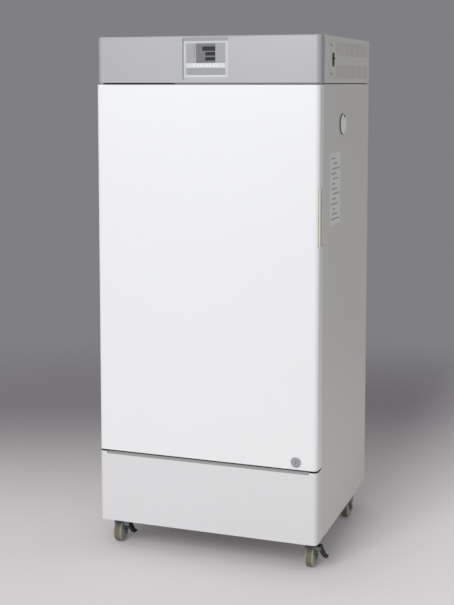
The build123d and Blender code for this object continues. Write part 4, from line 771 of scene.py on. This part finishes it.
# Display: a smoked grey window. Three near-black digit fields lie under it with their unlit
# bars, and five small lamps stand in a column beside it.
window_smoke = moulding(
    "window_smoke",
    (126, 126, 129),
    (118, 118, 122),
    grain=60.0,
    gloss=0.14,
    relief=0.00001,
)
dress(window_smoke, "display_window")
digit_glass = moulding("digit_glass", (30, 31, 31), (24, 25, 25), grain=60.0, gloss=0.2, relief=0.00001)
unlit_bar = moulding("unlit_bar", (58, 60, 58), (52, 54, 52), grain=800.0, gloss=0.3, relief=0.00001)
digit_corner = 0.0006
digit_thickness = 0.0002
bar_front = 0.00025
digit_slant = 0.12
digit_fields = {
    "upper": (0.0075, 1.55195, 0.0398, 0.0123, 4),
    "middle": (0.01215, 1.5367, 0.0305, 0.0102, 3),
    "lower": (0.01215, 1.52195, 0.0305, 0.0097, 3),
}


def digit_bars(name, field, front):
    """The seven unlit bars of each digit of a field, as thin slanted plates in one mesh."""
    middle_x, middle_z, width, height, count = field
    shape = bmesh.new()
    pitch = width / (count + 0.4)
    half_high = height * 0.34
    half_wide = pitch * 0.27
    bar = height * 0.07
    for number in range(count):
        centre_x = middle_x + (number - (count - 1) / 2) * pitch
        bars = [(0, place * half_high, half_wide - bar, bar / 2) for place in (-1, 0, 1)]
        for side in (-1, 1):
            for place in (-1, 1):
                bars.append((side * half_wide, place * half_high / 2, bar / 2, half_high / 2 - bar))
        for offset_x, offset_z, reach_x, reach_z in bars:
            corners = []
            for sign_x, sign_z in ((-1, -1), (1, -1), (1, 1), (-1, 1)):
                x = offset_x + sign_x * reach_x
                z = offset_z + sign_z * reach_z
                corners.append(shape.verts.new((centre_x + x + digit_slant * z, front, middle_z + z)))
            shape.faces.new(corners)
    thicken(shape, (0, bar_front - digit_thickness, 0))
    return new_piece(name, shape)


for name, field in digit_fields.items():
    middle_x, middle_z, width, height = field[:4]
    plane = facing((middle_x, face_y, middle_z), (1, 0, 0), (0, 0, 1))
    digit_window = rounded_film(f"digits_{name}", width, height, digit_corner, digit_thickness, plane)
    fix(digit_window, digit_glass, "cabinet")
    fix(digit_bars(f"bars_{name}", field, face_y - bar_front), unlit_bar, "cabinet")
lamp_resin = moulding("lamp_resin", (92, 94, 92), (78, 80, 78), grain=300.0, gloss=0.18, relief=0.00001)
lens_profile = [(0.0013, 0), (0.0013, 0.0003), (0.0009, 0.0006), (0.0003, 0.0007)]
for number, lamp_z in enumerate(lamp_heights, start=1):
    lens = turned(f"lamp_lens_{number}", lens_profile, (lamp_x, face_y, lamp_z), (0, -1, 0), 16)
    fix(lens, lamp_resin, "cabinet")

# Keys: four pale moulded caps that stand in the light band, each on a square stem. Each one
# has a plain printed mark of a kind that is common to such keys.
key_cap = moulding("key_cap", (230, 234, 237), (222, 226, 230), grain=1800.0, gloss=0.38, relief=0.00003)
key_print = moulding("key_print", (120, 124, 128), (108, 112, 116), grain=900.0, gloss=0.45, relief=0.00001)
mark_size = 0.0026
mark_front = 0.00008
mark_thickness = 0.0001
mark_outlines = {
    1: [(-1, -1), (1, -1), (1, 1), (-1, 1)],
    2: [(-1, -0.8), (1, -0.8), (0, 0.9)],
    3: [(-1, 0.8), (0, -0.9), (1, 0.8)],
    4: [(-0.8, -1), (0.9, 0), (-0.8, 1)],
}
for number, (low, high) in enumerate(key_boxes, start=1):
    dress(key_cap, f"key_{number}")
    shape = bmesh.new()
    middle_x, middle_z = (low.x + high.x) / 2, (low.z + high.z) / 2
    corners = [
        shape.verts.new((middle_x + u * mark_size / 2, low.y - mark_front, middle_z + v * mark_size / 2))
        for u, v in mark_outlines[number]
    ]
    shape.faces.new(corners)
    thicken(shape, (0, mark_thickness, 0))
    fix(new_piece(f"key_mark_{number}", shape), key_print, f"button_{number}")

# Control board behind the bezel: a green lacquered laminate with its parts soldered on. It
# stands on the bezel's back, and the keys press its switches.
board_lacquer = moulding(
    "board_lacquer",
    (34, 104, 66),
    (26, 84, 52),
    grain=250.0,
    gloss=0.28,
    relief=0.0001,
)
dress(board_lacquer, "control_board")

# Breaker: a dark moulded case behind the opening in the cover's side. A plain plate in the
# cover's tone closes the opening round the toggle, held by two screws.
breaker_moulding = moulding(
    "breaker_moulding",
    (222, 221, 216),
    (212, 210, 204),
    grain=1200.0,
    gloss=0.4,
    relief=0.0002,
)
plate_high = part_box("breaker_body")[1]
plate_skin = 0.0012
plate_screw_y = -0.195
plate_screw_heights = (1.4780, 1.5630)
plate_screw_radius = 0.0035
breaker_tree = breaker_moulding.node_tree
in_case = add_math(breaker_tree, "LESS_THAN", object_place(breaker_tree)[0], plate_high.x - plate_skin)
lay_over(breaker_moulding, in_case, linear(34, 34, 35))
dress(breaker_moulding, "breaker_body")
for number, screw_z in enumerate(plate_screw_heights, start=1):
    place = (plate_high.x, plate_screw_y, screw_z)
    screw = cross_screw(f"breaker_screw_{number}", place, (1, 0, 0), plate_screw_radius)
    fix(screw, screw_steel, "cabinet")

# Cable port: a grey flanged sleeve through the insulated wall, for the leads of probes. A
# white cap closes it, and swings aside on one screw.
port_moulding = moulding(
    "port_moulding",
    (252, 252, 250),
    (244, 244, 240),
    grain=1300.0,
    gloss=0.3,
    relief=0.0002,
)
dress(port_moulding, "port_cap")
port_rubber = moulding("port_rubber", (104, 104, 101), (88, 88, 86), grain=900.0, gloss=0.45, relief=0.0002)
dress(port_rubber, "port_sleeve")

# Casters: zinc plated plates and forks with hex nuts on the axle. The wheels are pale grey
# mouldings, with a tan tread on the band that rolls.
caster_zinc = metalwork(
    "caster_zinc",
    (158, 172, 162),
    (98, 112, 104),
    grain=(120.0, 120.0, 120.0),
    rough=(0.32, 0.3),
    relief=0.0003,
    metallic=0.8,
)
dress(caster_zinc, "caster_mounts")
for place in ("front_left", "front_right", "rear_left", "rear_right"):
    dress(caster_zinc, f"caster_fork_{place}")
tread_half = 0.0088
tread_radius = 0.0305


def wheel_finish(place):
    """A wheel's two plastics: a pale grey body, and a worn tan tread on its rolling band."""
    tones = ((176, 178, 170), (150, 152, 143))
    material = moulding(f"wheel_{place}", *tones, grain=900.0, gloss=0.45, relief=0.0003)
    tree = material.node_tree
    shader = tree.nodes["Principled BSDF"]
    low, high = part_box(f"caster_wheel_{place}")
    off_x, off_y, off_z = [
        add_math(tree, "SUBTRACT", value, centre)
        for value, centre in zip(object_place(tree), (low + high) / 2)
    ]
    squares = add_math(tree, "ADD", add_math(tree, "POWER", off_y, 2.0), add_math(tree, "POWER", off_z, 2.0))
    outer = add_math(tree, "GREATER_THAN", add_math(tree, "SQRT", squares), tread_radius)
    inner = add_math(tree, "LESS_THAN", add_math(tree, "ABSOLUTE", off_x), tread_half)
    band = add_math(tree, "MULTIPLY", outer, inner)
    grit = add_noise(tree, 160.0, 4.0)
    lay_over(material, band, add_mix(tree, grit, linear(104, 101, 84), linear(134, 130, 110)))
    body_rough = shader.inputs["Roughness"].links[0].from_socket
    rough = add_math(tree, "ADD", body_rough, add_math(tree, "MULTIPLY", band, 0.3), clamp=True)
    tree.links.new(rough, shader.inputs["Roughness"])
    tree.links.new(grit, shader.inputs["Normal"].links[0].from_node.inputs["Height"])
    return material


for place in ("front_left", "front_right", "rear_left", "rear_right"):
    dress(wheel_finish(place), f"caster_wheel_{place}")

# Studio: a pale paper floor that darkens behind the cabinet into a grey wall. A broad lamp in
# front, a little to the left, leaves the right side in shade. The room's own light and a weak
# sun from above fill the shadows. The paper also carries painted light: it is lightened to the
# cabinet's right and glows faintly to lift the shadows, and its darkening from 2.6 m out is a
# painted falloff round a pale pool.
floor_half = 40.0
floor_shape = bmesh.new()
bmesh.ops.create_grid(floor_shape, x_segments=1, y_segments=1, size=floor_half)
floor = new_piece("studio_floor", floor_shape)

paper = bpy.data.materials.new("studio_paper")
paper.use_nodes = True
paper_tree = paper.node_tree
paper_shader = paper_tree.nodes["Principled BSDF"]
paper_shader.inputs["Specular IOR Level"].default_value = 0.0
floor_x, floor_y, _ = object_place(paper_tree)
away_x = add_math(paper_tree, "MULTIPLY", floor_x, -sin(camera_turn))
away_y = add_math(paper_tree, "MULTIPLY", floor_y, cos(camera_turn))
along = add_math(paper_tree, "ADD", away_x, away_y)
square_x = add_math(paper_tree, "POWER", floor_x, 2.0)
square_y = add_math(paper_tree, "POWER", floor_y, 2.0)
reach = add_math(paper_tree, "SQRT", add_math(paper_tree, "ADD", square_x, square_y))


def span(tree, value, start, end):
    """How far a value has come from start to end, from 0 to 1."""
    ramp = tree.nodes.new("ShaderNodeMapRange")
    ramp.interpolation_type = "SMOOTHSTEP"
    ramp.inputs["From Min"].default_value = start
    ramp.inputs["From Max"].default_value = end
    tree.links.new(value, ramp.inputs["Value"])
    return ramp.outputs["Result"]


behind_span = (-0.1, 1.55)
around_span = (2.6, 4.0)
fading_span = (1.7, 3.2)
painted_light_span = (0.2, 0.8)
behind = span(paper_tree, along, *behind_span)
# Painted falloff: the paper darkens from 2.6 m out, leaving a pale pool round the cabinet.
around = span(paper_tree, reach, *around_span)
dark = add_math(paper_tree, "MAXIMUM", behind, around)
pale_paper = linear(215, 210, 212)
dark_paper = linear(138, 135, 139)
painted_light_paper = linear(250, 246, 248)
painted_light_share = 0.45
painted_paper_glow = 0.09
paper_fibre = add_noise(paper_tree, 300.0, 3.0)
paper_colour = add_mix(paper_tree, dark, pale_paper, dark_paper)
# Painted light: the paper is lightened to the right of the cabinet, lifting its shadow there.
painted_light_right = add_math(paper_tree, "MULTIPLY", span(paper_tree, floor_x, *painted_light_span), painted_light_share)
paper_colour = add_mix(paper_tree, painted_light_right, paper_colour, painted_light_paper)
paper_cover = add_math(paper_tree, "SUBTRACT", 1.0, span(paper_tree, reach, *fading_span))
paper_relief = paper_tree.nodes.new("ShaderNodeBump")
paper_relief.inputs["Distance"].default_value = 0.0002
paper_tree.links.new(paper_fibre, paper_relief.inputs["Height"])
paper_tree.links.new(paper_colour, paper_shader.inputs["Base Color"])
# Painted light: the paper glows faintly in its own colour, lifting all its shadows.
paper_tree.links.new(paper_colour, paper_shader.inputs["Emission Color"])
paper_shader.inputs["Emission Strength"].default_value = painted_paper_glow
paper_tree.links.new(paper_relief.outputs["Normal"], paper_shader.inputs["Normal"])
paper_tree.links.new(paper_cover, paper_shader.inputs["Alpha"])
paper_shader.inputs["Roughness"].default_value = 0.9
floor.data.materials.append(paper)


def aim(lamp, place, target):
    """Puts a lamp at a place and turns it towards a target."""
    lamp.location = place
    lamp.rotation_mode = "QUATERNION"
    lamp.rotation_quaternion = (Vector(target) - Vector(place)).to_track_quat("-Z", "Y")


key_data = bpy.data.lights.new("key_softbox", "AREA")
key_data.shape = "SQUARE"
key_data.size = 2.0
key_data.energy = 118.0
key_lamp = bpy.data.objects.new("key_softbox", key_data)
bpy.context.scene.collection.objects.link(key_lamp)
aim(key_lamp, (-0.55, -4.3, 3.2), (0, 0, 0.95))

sun_data = bpy.data.lights.new("overhead_sun", "SUN")
sun_data.angle = radians(40)
sun_data.energy = 0.3
sun_lamp = bpy.data.objects.new("overhead_sun", sun_data)
bpy.context.scene.collection.objects.link(sun_lamp)
aim(sun_lamp, (-0.3, -1.6, 4.0), (0, 0, 0))

world = bpy.data.worlds.new("studio_room")
world.use_nodes = True
bpy.context.scene.world = world
room = world.node_tree
room_light = room.nodes["Background"]
room_light.inputs["Color"].default_value = (0.43, 0.432, 0.432, 1)
room_wall = room.nodes.new("ShaderNodeBackground")
room_wall.inputs["Color"].default_value = linear(128, 127, 132)
seen = room.nodes.new("ShaderNodeLightPath")
shown = add_math(room, "MAXIMUM", seen.outputs["Is Camera Ray"], seen.outputs["Is Glossy Ray"])
shown = add_math(room, "MAXIMUM", shown, seen.outputs["Is Transmission Ray"])
room_mix = room.nodes.new("ShaderNodeMixShader")
room.links.new(shown, room_mix.inputs["Fac"])
room.links.new(room_light.outputs["Background"], room_mix.inputs[1])
room.links.new(room_wall.outputs["Background"], room_mix.inputs[2])
room.links.new(room_mix.outputs["Shader"], room.nodes["World Output"].inputs["Surface"])

bpy.context.scene.view_settings.view_transform = "Standard"
